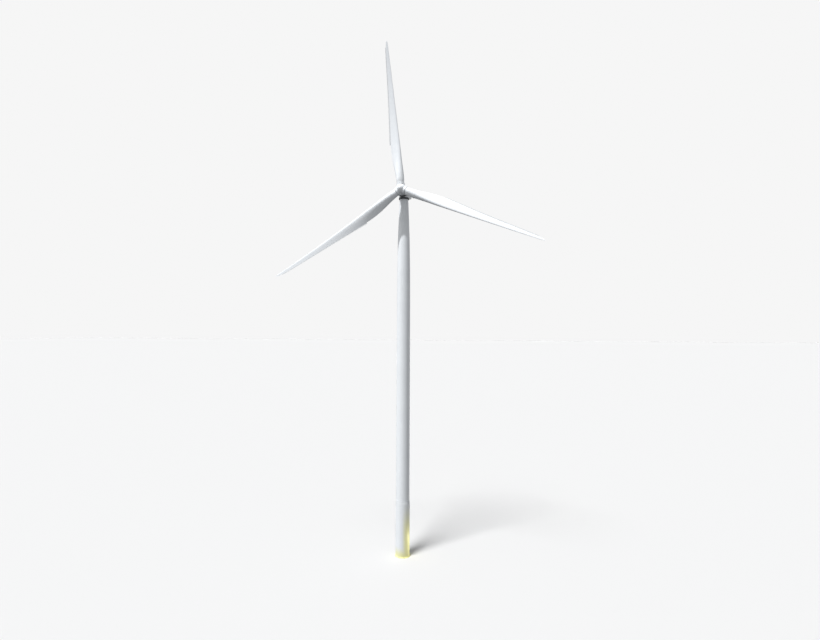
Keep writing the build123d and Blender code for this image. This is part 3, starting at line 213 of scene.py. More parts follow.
MAT["rubber_seal"] = painted("rubber_seal", (0.03, 0.03, 0.032), (0.02, 0.02, 0.021), (0.6, 0.75), 6, 90, 0.0004)


def lamp_mat():
    m, nt, b = new_mat("lamp")
    co = coords(nt)
    col = mix_col(nt, remap(nt, noise_fac(nt, co, 9, 3), 0, 1), (0.55, 0.02, 0.015), (0.42, 0.012, 0.01))
    nt.links.new(col, b.inputs["Base Color"])
    w = nt.nodes.new("ShaderNodeTexWave")
    w.wave_type = "BANDS"
    w.bands_direction = "Z"
    w.inputs["Scale"].default_value = 12.0
    nt.links.new(co, w.inputs["Vector"])
    bump(nt, b, w.outputs["Fac"], 0.5, 0.004)
    b.inputs["Roughness"].default_value = 0.12
    b.inputs["Transmission Weight"].default_value = 0.35
    b.inputs["IOR"].default_value = 1.5
    return m


MAT["lamp"] = lamp_mat()


def tower_mat():
    """White coating with weld rings every 3 m, faint rain streaks, painted shade on the short cone above the foot, and
    a painted yellow bounce glow over the foot that climbs the right-hand side of the lowest section."""
    m, nt, b = new_mat("tower_paint")
    co = coords(nt)
    sep = nt.nodes.new("ShaderNodeSeparateXYZ")
    nt.links.new(co, sep.inputs[0])
    x, y, z = sep.outputs
    base = mix_col(nt, remap(nt, noise_fac(nt, co, 0.22, 4), 0, 1), (0.80, 0.825, 0.85), (0.765, 0.79, 0.815))
    streaks = noise_fac(nt, co, 1.0, 4, 0.6, (1.6, 1.6, 0.035))
    base = mix_col(nt, remap(nt, streaks, 0.0, 0.22, 0.52, 0.80), base, (0.62, 0.635, 0.645))
    # painted shade: the short cone above the foot is darkened to cancel the brighter light its upward tilt catches from
    # the key light
    cone = math_node(nt, "MULTIPLY", remap(nt, z, 0.0, 1.0, 20.58, 20.66), remap(nt, z, 1.0, 0.0, 21.74, 21.82))
    base = mix_col(nt, math_node(nt, "MULTIPLY", cone, 0.62), base, (0.58, 0.60, 0.615))
    # painted bounce light: a yellow glow over the foot and up the right-hand side of the lowest section, painted in
    # place of light reflected from the ground
    foot = remap(nt, z, 1.0, 0.0, 0.6, 4.6, True)
    a = math.radians(BOUNCE_GLOW_DIR)
    side = math_node(nt, "ADD", math_node(nt, "MULTIPLY", x, math.cos(a)), math_node(nt, "MULTIPLY", y, math.sin(a)))
    side = remap(nt, side, 0.0, 1.0, 1.25, 2.55, True)
    climb = remap(nt, z, 1.0, 0.0, 9.0, 21.5, True)
    strip = math_node(nt, "MULTIPLY", side, climb)
    painted_bounce_glow = math_node(nt, "MAXIMUM", foot, math_node(nt, "MULTIPLY", strip, 0.9))
    wob = remap(nt, noise_fac(nt, co, 0.9, 3), 0.86, 1.0)
    painted_bounce_glow = math_node(nt, "MULTIPLY", painted_bounce_glow, wob)
    col = mix_col(nt, painted_bounce_glow, base, (0.82, 0.80, 0.40))
    nt.links.new(col, b.inputs["Base Color"])
    nt.links.new(remap(nt, noise_fac(nt, co, 1.6, 4), 0.36, 0.5), b.inputs["Roughness"])
    # weld rings: a narrow ridge every 3 m
    frac = math_node(nt, "FRACT", math_node(nt, "MULTIPLY", z, 1.0 / 3.0))
    ridge = remap(nt, math_node(nt, "ABSOLUTE", math_node(nt, "SUBTRACT", frac, 0.5)), 1.0, 0.0, 0.0, 0.008, True)
    peel = noise_fac(nt, co, 40, 2)
    h = math_node(nt, "ADD", ridge, math_node(nt, "MULTIPLY", peel, 0.15))
    bump(nt, b, h, 0.5, 0.006)
    b.inputs["Coat Weight"].default_value = 0.08
    b.inputs["Coat Roughness"].default_value = 0.3
    return m


# side of the tower that takes the painted bounce glow, in degrees
BOUNCE_GLOW_DIR = -20.0
MAT["tower_paint"] = tower_mat()

# every CAD node takes the material of its slot
slot_of = {s["node"]: s["material_slot"] for s in frame["record"]["subparts"]}
COVER_NODES = {"nacelle_cover_upper", "nacelle_cover_lower", "roof_hatch", "cooler_frame"}
for name, o in NODES.items():
    mat = MAT["cover_white"] if name in COVER_NODES else MAT[slot_of[name]]
    o.data.materials.clear()
    o.data.materials.append(mat)
    for p in o.data.polygons:
        p.material_index = 0


# ------------------------------------------------------------------ mesh helpers
def add_mesh(name, verts, faces, mat, body, M=None, sharp=32.0, replaces=()):
    me = bpy.data.meshes.new(name)
    if M is not None:
        verts = [M @ Vector(v) for v in verts]
    me.from_pydata([tuple(v) for v in verts], [], faces)
    bm = bmesh.new()
    bm.from_mesh(me)
    bmesh.ops.remove_doubles(bm, verts=bm.verts, dist=1e-6)
    bmesh.ops.recalc_face_normals(bm, faces=bm.faces)
    for e in bm.edges:
        e.smooth = not (len(e.link_faces) == 2 and e.calc_face_angle(0.0) > math.radians(sharp))
    for f in bm.faces:
        f.smooth = True
    bm.to_mesh(me)
    bm.free()
    me.materials.append(mat)
    o = bpy.data.objects.new(name, me)
    bpy.context.scene.collection.objects.link(o)
    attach(o, body)
    if replaces:
        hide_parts(*replaces)
    return o


class Build:
    """Collects closed pieces of mesh."""

    def __init__(self):
        self.v, self.f = [], []

    def add(self, verts, faces):
        k = len(self.v)
        self.v += [Vector(p) for p in verts]
        self.f += [tuple(i + k for i in f) for f in faces]

    def loft(self, rings, closed_ends=True, loop=False):
        """rings of equal length joined by quads; ends closed with n-gons, or joined to each other when loop is set."""
        n = len(rings[0])
        verts = [p for r in rings for p in r]
        faces = []
        m = len(rings)
        for i in range(m if loop else m - 1):
            a, b = i * n, ((i + 1) % m) * n
            for j in range(n):
                k = (j + 1) % n
                faces.append((a + j, a + k, b + k, b + j))
        if closed_ends and not loop:
            faces.append(tuple(reversed(range(n))))
            faces.append(tuple(range((m - 1) * n, m * n)))
        self.add(verts, faces)

    def lathe(self, profile, seg=64, M=None, caps=True, arc=None):
        """Ring-shaped or solid body of revolution about local Z. profile is a list of (r, z); a closed loop if caps is False."""
        rings = []
        for r, z in profile:
            rings.append([Vector((r * math.cos(2 * math.pi * j / seg), r * math.sin(2 * math.pi * j / seg), z)) for j in range(seg)])
        if M is not None:
            rings = [[M @ p for p in r] for r in rings]
        self.loft(rings, closed_ends=caps, loop=not caps)

    def bevel_box(self, x0, x1, y0, y1, z0, z1, b=0.01, M=None):
        bm = bmesh.new()
        bmesh.ops.create_cube(bm, size=1.0)
        for v in bm.verts:
            v.co = Vector(((x0 + x1) / 2 + v.co.x * (x1 - x0), (y0 + y1) / 2 + v.co.y * (y1 - y0), (z0 + z1) / 2 + v.co.z * (z1 - z0)))
        b = min(b, (x1 - x0) * 0.3, (y1 - y0) * 0.3, (z1 - z0) * 0.3)
        bmesh.ops.bevel(bm, geom=list(bm.edges) + list(bm.verts), offset=b, segments=2, affect="EDGES", profile=0.6)
        if M is not None:
            bmesh.ops.transform(bm, matrix=M, verts=bm.verts)
        bm.verts.index_update()
        self.add([v.co.copy() for v in bm.verts], [tuple(v.index for v in f.verts) for f in bm.faces])
        bm.free()

    def tube(self, pts, r, seg=12, M=None):
        """Round bar along a polyline."""
        pts = [Vector(p) for p in pts]
        rings = []
        up = None
        for i, p in enumerate(pts):
            if i == 0:
                d = pts[1] - p
            elif i == len(pts) - 1:
                d = p - pts[-2]
            else:
                d = (pts[i + 1] - p).normalized() + (p - pts[i - 1]).normalized()
            d.normalize()
            if up is None:
                up = d.orthogonal().normalized()
            up = (up - d * up.dot(d)).normalized()
            side = d.cross(up)
            ring = [p + (up * math.cos(2 * math.pi * j / seg) + side * math.sin(2 * math.pi * j / seg)) * r for j in range(seg)]
            rings.append([M @ q for q in ring] if M is not None else ring)
        self.loft(rings)

    def make(self, name, mat, body, slot, M=None, sharp=32.0, replaces=()):
        return add_mesh(name, self.v, self.f, mat, body, M, sharp, replaces)


# ------------------------------------------------------------------ blades
ST = [
    (1.790, 2.84, 1.00, 15.0, 0.500, 0.00),
    (2.320, 2.84, 1.00, 15.0, 0.500, 0.00),
    (3.300, 3.08, 1.00, 15.0, 0.500, 0.00),
    (5.500, 3.34, 0.900, 15.0, 0.475, 0.18),
    (8.500, 3.70, 0.670, 15.0, 0.405, 0.55),
    (12.000, 4.06, 0.465, 14.2, 0.340, 0.90),
    (15.500, 4.18, 0.360, 12.6, 0.315, 1.00),
    (19.500, 3.90, 0.305, 10.2, 0.305, 1.00),
    (25.000, 3.33, 0.265, 7.4, 0.300, 1.00),
    (32.000, 2.72, 0.235, 4.8, 0.295, 1.00),
    (39.000, 2.20, 0.215, 2.8, 0.290, 1.00),
    (46.000, 1.76, 0.200, 1.3, 0.285, 1.00),
    (52.000, 1.40, 0.190, 0.2, 0.285, 1.00),
    (56.500, 1.06, 0.185, -0.6, 0.300, 1.00),
    (58.800, 0.76, 0.180, -0.9, 0.340, 1.00),
    (59.650, 0.47, 0.180, -1.0, 0.430, 1.00),
    (60.000, 0.19, 0.200, -1.0, 0.640, 1.00),
]


def pchip(xs, ys):
    n = len(xs)
    h = [xs[i + 1] - xs[i] for i in range(n - 1)]
    d = [(ys[i + 1] - ys[i]) / h[i] for i in range(n - 1)]
    m = [0.0] * n
    m[0], m[-1] = d[0], d[-1]
    for i in range(1, n - 1):
        if d[i - 1] * d[i] > 0:
            w1, w2 = 2 * h[i] + h[i - 1], h[i] + 2 * h[i - 1]
            m[i] = (w1 + w2) / (w1 / d[i - 1] + w2 / d[i])

    def f(x):
        x = min(max(x, xs[0]), xs[-1])
        i = 0
        while i < n - 2 and x > xs[i + 1]:
            i += 1
        t = (x - xs[i]) / h[i]
        return ((1 + 2 * t) * (1 - t) ** 2 * ys[i] + t * (1 - t) ** 2 * h[i] * m[i]
                + t * t * (3 - 2 * t) * ys[i + 1] + t * t * (t - 1) * h[i] * m[i + 1])
    return f


ZS = [s[0] for s in ST]
F_CHORD, F_TC, F_TW, F_XA, F_W = (pchip(ZS, [s[k] for s in ST]) for k in range(1, 6))


def prebend(z):
    u = max(0.0, (z - 6.0) / (R_TIP - 6.0))
    return PREBEND * u ** 2.3


def place(xi, eta, z):
    c, b, xa = F_CHORD(z), math.radians(F_TW(z)), F_XA(z)
    x, y = (xa - xi) * c, eta * c
    return Vector((x * math.cos(b) + y * math.sin(b), -x * math.sin(b) + y * math.cos(b) - prebend(z), z))


def foil(z, n, shrink=0.0):
    """Closed loop of points round the section, from the trailing edge over the suction side and back."""
    c, tc, w = F_CHORD(z), F_TC(z), F_W(z)
    pts = []
    phi0 = math.radians(7.0)
    for side in (1, -1):
        row = []
        for i in range(n + 1):
            phi = phi0 + (math.pi - phi0) * i / n
            x = (1 + math.cos(phi)) / 2
            circ = 0.5 * math.sin(phi)
            naca = 5 * (0.2969 * math.sqrt(x) - 0.1260 * x - 0.3516 * x ** 2 + 0.2843 * x ** 3 - 0.1015 * x ** 4)
            half = (1 - w) * circ + w * naca
            camber = w * 0.030 * 4 * x * (1 - x)
            if shrink:
                k = 1 - 2 * shrink / c
                row.append(place(0.5 + (x - 0.5) * k, side * half * tc * k + camber, z))
            else:
                row.append(place(x, side * half * tc + camber, z))
        pts.append(row)
    return pts[0] + list(reversed(pts[1]))[1:]


NF = 30
zs = [1.792 + 0.0005]
z = 1.8
while z < 59.0:
    zs.append(z)
    z += 0.45 if z < 20 else 0.75
zs += [59.0, 59.3, 59.55, 59.75, 59.88, 59.96, 59.998]
for k, M in enumerate(B_M, start=1):
    b = Build()
    rings = [foil(q, NF) for q in zs]
    inner = [foil(q, NF, 0.09) for q in (2.9, 2.3, 1.793)]
    b.loft(inner + rings)
    b.make(f"blade_{k}_skin", MAT["shell_white"], f"blade_{k}", "shell_white", M, 40, (f"blade_{k}",))
    # rain collar where the root leaves the spinner
    r = Build()
    prof = [(1.418, 2.235), (1.47, 2.24), (1.495, 2.26), (1.495, 2.30), (1.47, 2.335), (1.418, 2.37)]
    r.lathe(prof, 72, None, caps=False)
    r.make(f"blade_{k}_root_collar", MAT["serration"], f"blade_{k}", "shell_white", M)
    # lightning receptors: low metal discs on both faces near the tip and at two thirds span
    d = Build()
    for zr in (40.0, 52.0, 58.2):
        for side in (1, -1):
            i = NF // 2
            loop = foil(zr, NF)
            p = loop[i] if side == 1 else loop[-i - 1]
            q = loop[i + 1] if side == 1 else loop[-i]
            nxt = foil(zr + 0.1, NF)[i] if side == 1 else foil(zr + 0.1, NF)[-i - 1]
            nrm = (q - p).cross(nxt - p).normalized()
            if nrm.y * side < 0:
                nrm = -nrm
            rot = nrm.to_track_quat("Z", "Y").to_matrix().to_4x4()
            d.lathe([(0.001, -0.012), (0.05, -0.012), (0.055, 0.002), (0.045, 0.006), (0.001, 0.008)], 20, Matrix.Translation(p) @ rot)
    d.make(f"blade_{k}_receptors", MAT["steel"], f"blade_{k}", "steel", M)
    # serrations: comb panels one metre long, four teeth each
    s = Build()
    z = 18.5
    while z + 1.0 < 58.3:
        za, zb = z + 0.004, z + 0.996
        pa, pb = place(1.0, 0.0, za), place(1.0, 0.0, zb)
        zm = (za + zb) / 2
        tw = math.radians(F_TW(zm))
        back = Vector((-math.cos(tw), math.sin(tw), 0))
        uz = (pb - pa).normalized()
        nr = uz.cross(back).normalized()
        back = nr.cross(uz).normalized()
        if back.x > 0:
            back = -back
        L = (pb - pa).length
        tooth = 0.115 * F_CHORD(zm) + 0.145
        o = pa - back * 0.004
        nt_ = 4
        outline = [(0.0, 0.0), (L, 0.0), (L, 0.036)]
        for j in range(nt_ - 1, -1, -1):
            outline += [((j + 0.56) * L / nt_, 0.036 + tooth), ((j + 0.44) * L / nt_, 0.036 + tooth), (j * L / nt_, 0.036)]
        top = [o + uz * u + back * v + nr * (0.004 - 0.002 * v / (0.036 + tooth)) for u, v in outline]
        bot = [o + uz * u + back * v - nr * (0.004 - 0.002 * v / (0.036 + tooth)) for u, v in outline]
        n = len(outline)
        faces = []
        # strip along the base, then one quad-and-tip per tooth keeps the faces convex
        faces_top, faces_bot = [], []
        base_row = [0, 1, 2]
        idx_root = [2] + [3 + 3 * j + 2 for j in range(nt_)]
        for j in range(nt_):
            a = idx_root[j]
            t1, t2, a2 = 3 + 3 * j, 3 + 3 * j + 1, 3 + 3 * j + 2
            faces_top.append((a, t1, t2, a2))
        faces_top.append(tuple([0, 1] + idx_root))
        for f in faces_top:
            faces.append(f)
            faces.append(tuple(i + n for i in reversed(f)))
        for i in range(n):
            j = (i + 1) % n
            faces.append((i, i + n, j + n, j))
        s.add(top + bot, faces)
        z += 1.0
    s.make(f"blade_{k}_serration_combs", MAT["serration"], f"blade_{k}", "serration", M, 32, (f"blade_serrations_{k}",))

# ------------------------------------------------------------------ nacelle cover: joints, panels, vents
def cover_r(q):
    """Outer radius of the cover at a distance q behind the hub centre."""
    pts = [(3.17, 2.05), (7.6, 2.05), (8.5, 2.01), (9.5, 1.90), (10.1, 1.80), (10.48, 1.62)]
    for (a, ra), (b2, rb) in zip(pts, pts[1:]):
        if q <= b2:
            return ra + (rb - ra) * (max(q, a) - a) / (b2 - a)
    return pts[-1][1]


def tangent_frame(ang, q, lift=0.0):
    """Frame on the cover: local Z outwards, X round the cover, Y along the shaft."""
    r = cover_r(q) + lift
    c, s_ = math.cos(ang), math.sin(ang)
    return S_M @ columns(Vector((-s_, c, 0)), Vector((0, 0, 1)), Vector((c, s_, 0)), Vector((r * c, r * s_, -q)))


b = Build()
for sx in (1, -1):
    rings = []
    q = 3.2
    while q <= 10.0:
        r = cover_r(q)
        rings.append([S_M @ Vector((sx * (r - 0.012), -0.05, -q)), S_M @ Vector((sx * (r + 0.034), -0.042, -q)),
                      S_M @ Vector((sx * (r + 0.040), 0.0, -q)), S_M @ Vector((sx * (r + 0.034), 0.042, -q)), S_M @ Vector((sx * (r - 0.012), 0.05, -q))])
        q += 0.2
    b.loft(rings)
b.make("cover_split_flange", MAT["cover_white"], "nacelle", "shell_white")

b = Build()
for sx in (1, -1):
    q = 3.35
    while q < 9.9:
        for yy in (-0.026, 0.026):
            m = S_M @ columns(Vector((0, 1, 0)), Vector((0, 0, sx)), Vector((sx, 0, 0)), Vector((sx * (cover_r(q) + 0.033), yy, -q)))
            b.lathe([(0.013, 0.0), (0.013, 0.010), (0.009, 0.014)], 6, m)
        q += 0.35
b.make("cover_flange_bolts", MAT["steel"], "nacelle", "steel")

b = Build()
for q0 in (3.28, 4.45, 5.75, 8.05, 9.3):
    rings = []
    n_a = 64
    for i in range(n_a + 1):
        a = math.radians(2.0 + 176.0 * i / n_a)
        row = []
        for dq, dr in ((-0.055, -0.008), (-0.04, 0.012), (0.04, 0.012), (0.055, -0.008)):
            r = cover_r(q0 + dq) + dr
            row.append(S_M @ Vector((r * math.cos(a), r * math.sin(a), -(q0 + dq))))
        rings.append(row)
    b.loft(rings)
b.make("cover_panel_bands", MAT["cover_white"], "nacelle", "shell_white")

b = Build()
for a0 in (math.radians(19), math.radians(161)):
    m0 = tangent_frame(a0, 7.0)
    b.bevel_box(-0.40, 0.40, -0.55, -0.50, -0.02, 0.035, 0.008, m0)
    b.bevel_box(-0.40, 0.40, 0.50, 0.55, -0.02, 0.035, 0.008, m0)
    b.bevel_box(-0.45, -0.40, -0.55, 0.55, -0.04, 0.035, 0.008, m0)
    b.bevel_box(0.40, 0.45, -0.55, 0.55, -0.04, 0.035, 0.008, m0)
    for i in range(9):
        x = -0.36 + 0.09 * i
        tilt = Matrix.Translation((x, 0, 0.004 - 0.5 * x * x / 2.05)) @ Matrix.Rotation(math.radians(38 if a0 < 1.5 else -38), 4, "Y")
        b.bevel_box(-0.035, 0.035, -0.50, 0.50, -0.004, 0.004, 0.002, m0 @ tilt)
b.make("cover_side_louvres", MAT["cover_white"], "nacelle", "shell_white")

b = Build()
for q0 in (4.0, 8.75):
    for a0 in (math.radians(62), math.radians(118)):
        m0 = tangent_frame(a0, q0)
        b.bevel_box(-0.075, 0.075, -0.10, 0.10, -0.01, 0.014, 0.005, m0)
        ring = [(0.055 * math.cos(2 * math.pi * i / 20), 0.055 * math.sin(2 * math.pi * i / 20)) for i in range(20)]
        rr = []
        for x, z in ring:
            cx, cz = x / 0.055, z / 0.055
            rr.append([m0 @ Vector((x * 1.0 + 0.014 * math.cos(t) * cx, 0.014 * math.sin(t), 0.058 + z + 0.014 * math.cos(t) * cz)) for t in [2 * math.pi * j / 8 for j in range(8)]])
        b.loft(rr, False, True)
b.make("lifting_eyes", MAT["steel"], "nacelle", "steel")

# hatch frame on the roof, rubber brush round the tower
b = Build()
for q0 in (6.27, 7.23):
    rings = []
    for i in range(17):
        x = -0.445 + 0.89 * i / 16
        r = 2.05
        y = math.sqrt(r * r - x * x)
        rings.append([S_M @ Vector((x, y - 0.01, -(q0 - 0.018))), S_M @ Vector((x, y + 0.014, -(q0 - 0.012))),
                      S_M @ Vector((x, y + 0.014, -(q0 + 0.012))), S_M @ Vector((x, y - 0.01, -(q0 + 0.018)))])
    b.loft(rings)
b.make("hatch_curb", MAT["serration"], "nacelle", "serration")

b = Build()
b.lathe([(1.742, 140.862), (1.80, 140.862), (1.80, 140.899), (1.742, 140.899)], 96, None, caps=False)
b.make("tower_brush_seal", MAT["rubber_seal"], "nacelle", "sensor")

# dark band round the yaw section, then the guard over the fan
b = Build()
b.lathe([(1.80, 140.893), (2.020, 140.893), (2.038, 140.905), (2.042, 141.54), (2.038, 141.56), (2.026, 141.56), (2.026, 140.897), (1.80, 140.897)], 144, None, caps=False)
b.make("yaw_band", MAT["drum_grey"], "nacelle", "drum_grey")

b = Build()
fan_m = S_M @ Matrix.Translation((0, 0.62, -10.70))
for r in (0.10, 0.17, 0.24, 0.31, 0.38, 0.45):
    pts = []
    for i in range(48):
        a = 2 * math.pi * i / 48
        c, s_ = math.cos(a), math.sin(a)
        pts.append([fan_m @ Vector(((r + 0.006 * math.cos(t)) * c, (r + 0.006 * math.cos(t)) * s_, 0.006 * math.sin(t))) for t in [2 * math.pi * j / 6 for j in range(6)]])
    b.loft(pts, False, True)
for i in range(6):
    a = math.pi * i / 6
    c, s_ = math.cos(a), math.sin(a)
    b.tube([(-0.475 * c, -0.475 * s_, 0.003), (0.475 * c, 0.475 * s_, 0.003)], 0.007, 6, fan_m)
b.make("fan_guard", MAT["galvanised"], "nacelle", "galvanised")

# ------------------------------------------------------------------ cooler: thin fins through both wings
b = Build()
for sx in (1, -1):
    ux, uy = 1.8 / 3.371, -2.85 / 3.371
    u = Vector((sx * ux, uy, 0))
    nn = Vector((sx * 2.85 / 3.371, 1.8 / 3.371, 0))
    m0 = S_M @ columns(u, nn, u.cross(nn), Vector((sx * 0.72, 2.42, -10.19)))
    for j in range(4):
        xa = 3.3 * j / 4 + (0.055 if j == 0 else 0.025)
        xb = 3.3 * (j + 1) / 4 - (0.055 if j == 3 else 0.025)
        k = int((xb - xa) / 0.026)
        for i in range(k):
            x = xa + (xb - xa) * (i + 0.5) / k
            b.bevel_box(x - 0.002, x + 0.002, 0.052, 0.408, -0.088, 0.088, 0.0006, m0)
        for t in (0.10, 0.17, 0.24, 0.31, 0.36):
            b.bevel_box(xa + 0.002, xb - 0.002, t - 0.007, t + 0.007, -0.03, 0.03, 0.003, m0)
b.make("cooler_fins", MAT["radiator"], "nacelle", "radiator", None, 32)

# ------------------------------------------------------------------ obstruction light: ribbed lens on a cast base
lm = S_M @ columns(Vector((1, 0, 0)), Vector((0, 0, -1)), Vector((0, 1, 0)), Vector((0, 0, -7.7)))
b = Build()
prof = [(0.001, 2.102)]
zz = 2.102
while zz < 2.285:
    prof += [(0.079, zz), (0.086, zz + 0.006)]
    zz += 0.012
prof += [(0.079, 2.288), (0.001, 2.288)]
b.lathe(prof, 48, lm)
b.make("aviation_lens", MAT["lamp"], "nacelle", "lamp", None, 25, ("aviation_light",))
b = Build()
b.lathe([(0.001, 2.035), (0.108, 2.035), (0.110, 2.045), (0.110, 2.082), (0.100, 2.100), (0.001, 2.1015)], 40, lm)
b.lathe([(0.001, 2.2885), (0.088, 2.289), (0.094, 2.296), (0.092, 2.308), (0.05, 2.318), (0.001, 2.3195)], 40, lm)
b.make("aviation_base", MAT["galvanised"], "nacelle", "galvanised", None, 32, ("aviation_light",))

# ------------------------------------------------------------------ spinner: nose plate, seams, vent; ribs round the generator
def nose_z(r):
    return 0.63 + math.sqrt(1.70 ** 2 - r * r)


b = Build()
prof = [(0.001, nose_z(0.0) + 0.012)] + [(r, nose_z(r) + 0.012) for r in (0.12, 0.24, 0.36, 0.46)] + [(0.475, nose_z(0.475) + 0.004), (0.475, nose_z(0.475) - 0.01), (0.001, nose_z(0) - 0.01)]
b.lathe(prof, 64, S_M)
for i in range(12):
    a = math.radians(30 * i + 15)
    r = 0.43
    b.lathe([(0.011, 0.0), (0.011, 0.008), (0.006, 0.011)], 6, S_M @ Matrix.Translation((r * math.cos(a), r * math.sin(a), nose_z(r) + 0.010)))
b.make("nose_plate", MAT["shell_white"], "rotor", "shell_white")

SIDE_R = (2.09 ** 2 + 0.63 ** 2 - 1.70 ** 2) / (2 * (2.09 - 1.70))
b = Build()
for deg in (36.0, 156.0, 276.0):
    a = math.radians(deg)
    path = []
    for i in range(15):
        r = 0.48 + (1.30 - 0.48) * i / 14
        path.append((r, nose_z(r)))
    for z in (1.3, 1.1, 0.9, 0.7, 0.5, 0.3, 0.1):
        rr_ = (2.09 - SIDE_R) + math.sqrt(SIDE_R ** 2 - z * z)
        if rr_ > path[-1][0] + 0.01 and z < path[-1][1]:
            path.append((rr_, z))
    path += [(2.09 - 0.05 * (-z) / 1.66, z) for z in (-0.2, -0.6, -1.0, -1.4, -1.64)]
    c, s_ = math.cos(a), math.sin(a)
    t = Vector((-s_, c, 0))
    rings = []
    for i, (r, z) in enumerate(path):
        r0, z0 = path[max(i - 1, 0)]
        r1, z1 = path[min(i + 1, len(path) - 1)]
        dr, dz = r1 - r0, z1 - z0
        ln = math.hypot(dr, dz)
        nr, nz = -dz / ln, dr / ln
        nrm = Vector((nr * c, nr * s_, nz))
        o = Vector((r * c, r * s_, z))
        rings.append([S_M @ (o + t * ww + nrm * hh) for ww, hh in ((-0.045, -0.012), (-0.035, 0.010), (0.035, 0.010), (0.045, -0.012))])
    b.loft(rings)
b.make("spinner_seams", MAT["shell_white"], "rotor", "shell_white")

b = Build()
vn = Vector((1.0, -1.30, 0)).normalized()
vm = B_M[0] @ columns(Vector((0, 0, 1)).cross(vn), Vector((0, 0, 1)), vn, Vector((1.0, -1.30, 0)).normalized() * 1.64 + Vector((0, 0, 1.75)))
b.lathe([(0.001, -0.01), (0.17, -0.01), (0.17, 0.018), (0.15, 0.024), (0.14, 0.010), (0.001, 0.008)], 32, vm)
for i in range(5):
    b.bevel_box(-0.13, 0.13, -0.085 + 0.04 * i, -0.075 + 0.04 * i, 0.004, 0.020, 0.003, vm)
b.make("spinner_vent", MAT["sensor"], "rotor", "sensor")

b = Build()
for q in (1.86, 2.08, 2.30, 2.52, 2.74, 2.96):
    b.lathe([(2.046, -q - 0.022), (2.070, -q - 0.016), (2.070, -q + 0.016), (2.046, -q + 0.022)], 120, S_M, caps=False)
b.make("generator_ribs", MAT["drum_grey"], "rotor", "drum_grey")

# ------------------------------------------------------------------ tower: sealed joints, door furniture, earth lugs
b = Build()
for zj, rj in ((22.0, 2.625), (52.0, 2.625), (82.0, 2.625), (112.0, 2.56)):
    b.lathe([(rj - 0.004, zj - 0.05), (rj + 0.008, zj - 0.035), (rj + 0.010, zj), (rj + 0.008, zj + 0.035), (rj - 0.004, zj + 0.05)], 144, None, caps=False)
b.make("joint_seals", MAT["tower_paint"], "tower", "tower_paint")

b = Build()
z = 3.0
while z < 140:
    if min(abs(z - q) for q in (22.0, 52.0, 82.0, 112.0)) > 0.6 and not 1.7 < z < 4.6:
        if z < 20.6:
            r = 2.76
        elif z < 21.8:
            r = 2.76 - 0.135 * (z - 20.6) / 1.2
        elif z < 100:
            r = 2.625
        elif z < 112:
            r = 2.625 - 0.065 * (z - 100) / 12
        else:
            tp = ((112.0, 2.56), (124.0, 2.365), (133.0, 2.06), (141.2, 1.70))
            for (za, ra), (zb, rb) in zip(tp, tp[1:]):
                if z <= zb:
                    r = ra + (rb - ra) * (z - za) / (zb - za)
                    break
        b.lathe([(r - 0.004, z - 0.016), (r + 0.005, z), (r - 0.004, z + 0.016)], 96, None, caps=False)
    z += 3.0
b.make("weld_beads", MAT["tower_paint"], "tower", "tower_paint")

b = Build()
b.bevel_box(-0.70, 0.70, 2.70, 3.16, 4.43, 4.47, 0.01)
b.bevel_box(-0.70, -0.67, 2.70, 3.10, 4.30, 4.45, 0.008)
b.bevel_box(0.67, 0.70, 2.70, 3.10, 4.30, 4.45, 0.008)
b.make("door_hood", MAT["galvanised"], "tower", "galvanised")
b = Build()
for i in range(11):
    zc = 3.42 + 0.036 * i
    b.bevel_box(-0.24, 0.24, 2.868, 2.892, zc - 0.011, zc + 0.007, 0.003)
for i in range(6):
    zc = 2.42 + 0.036 * i
    b.bevel_box(-0.24, 0.24, 2.868, 2.892, zc - 0.011, zc + 0.007, 0.003)
b.make("door_louvres", MAT["galvanised"], "tower_door", "galvanised")

b = Build()
for deg in (20, 160, 200, 340):
    m0 = Matrix.Rotation(math.radians(deg), 4, "Z")
    b.bevel_box(2.755, 2.80, -0.05, 0.05, 0.22, 0.38, 0.006, m0)
    b.lathe([(0.022, 0.0), (0.022, 0.018), (0.012, 0.024)], 6, m0 @ columns(Vector((0, 1, 0)), Vector((0, 0, 1)), Vector((1, 0, 0)), Vector((2.80, 0, 0.30))))
b.make("earth_lugs", MAT["steel"], "tower", "steel")

# ------------------------------------------------------------------ smooth shading for the CAD nodes that stay
for name, o in NODES.items():
    bm = bmesh.new()
    bm.from_mesh(o.data)
    sharp = {}
    me = o.data
    try:
        me.shade_smooth()
        me.set_sharp_from_angle(angle=math.radians(32))
    except Exception:
        pass
    bm.free()

# ------------------------------------------------------------------ floor, light, camera
PAN, PITCH, ROLL = 0.2410, 0.0232, 0.0039
CAM = Vector((53.858, -208.258, 87.82))
FOCAL_PX = 540.70


def stage():
    bm = bmesh.new()
    bmesh.ops.create_grid(bm, x_segments=8, y_segments=8, size=6000.0)
    me = bpy.data.meshes.new("floor")
    bm.to_mesh(me)
    bm.free()
    o = bpy.data.objects.new("floor", me)
    o.location = (0, 0, -0.002)
    bpy.context.scene.collection.objects.link(o)
    m, nt, b = new_mat("floor_mat")
    b.inputs["Base Color"].default_value = (FLOOR, FLOOR, FLOOR, 1)
    b.inputs["Roughness"].default_value = 0.95
    b.inputs["Specular IOR Level"].default_value = 0.0
    me.materials.append(m)


FLOOR = 0.80
KEY = (51, 70, 5.5, 1.2)          # azimuth, elevation, strength, angle
FLOOR_SUN = 3.01
SKY = (0.22, 0.72, 0.05)        # zenith, horizon, straight down
stage()

right = Vector((math.cos(PAN), math.sin(PAN), 0))
away = Vector((-math.sin(PAN), math.cos(PAN), 0))


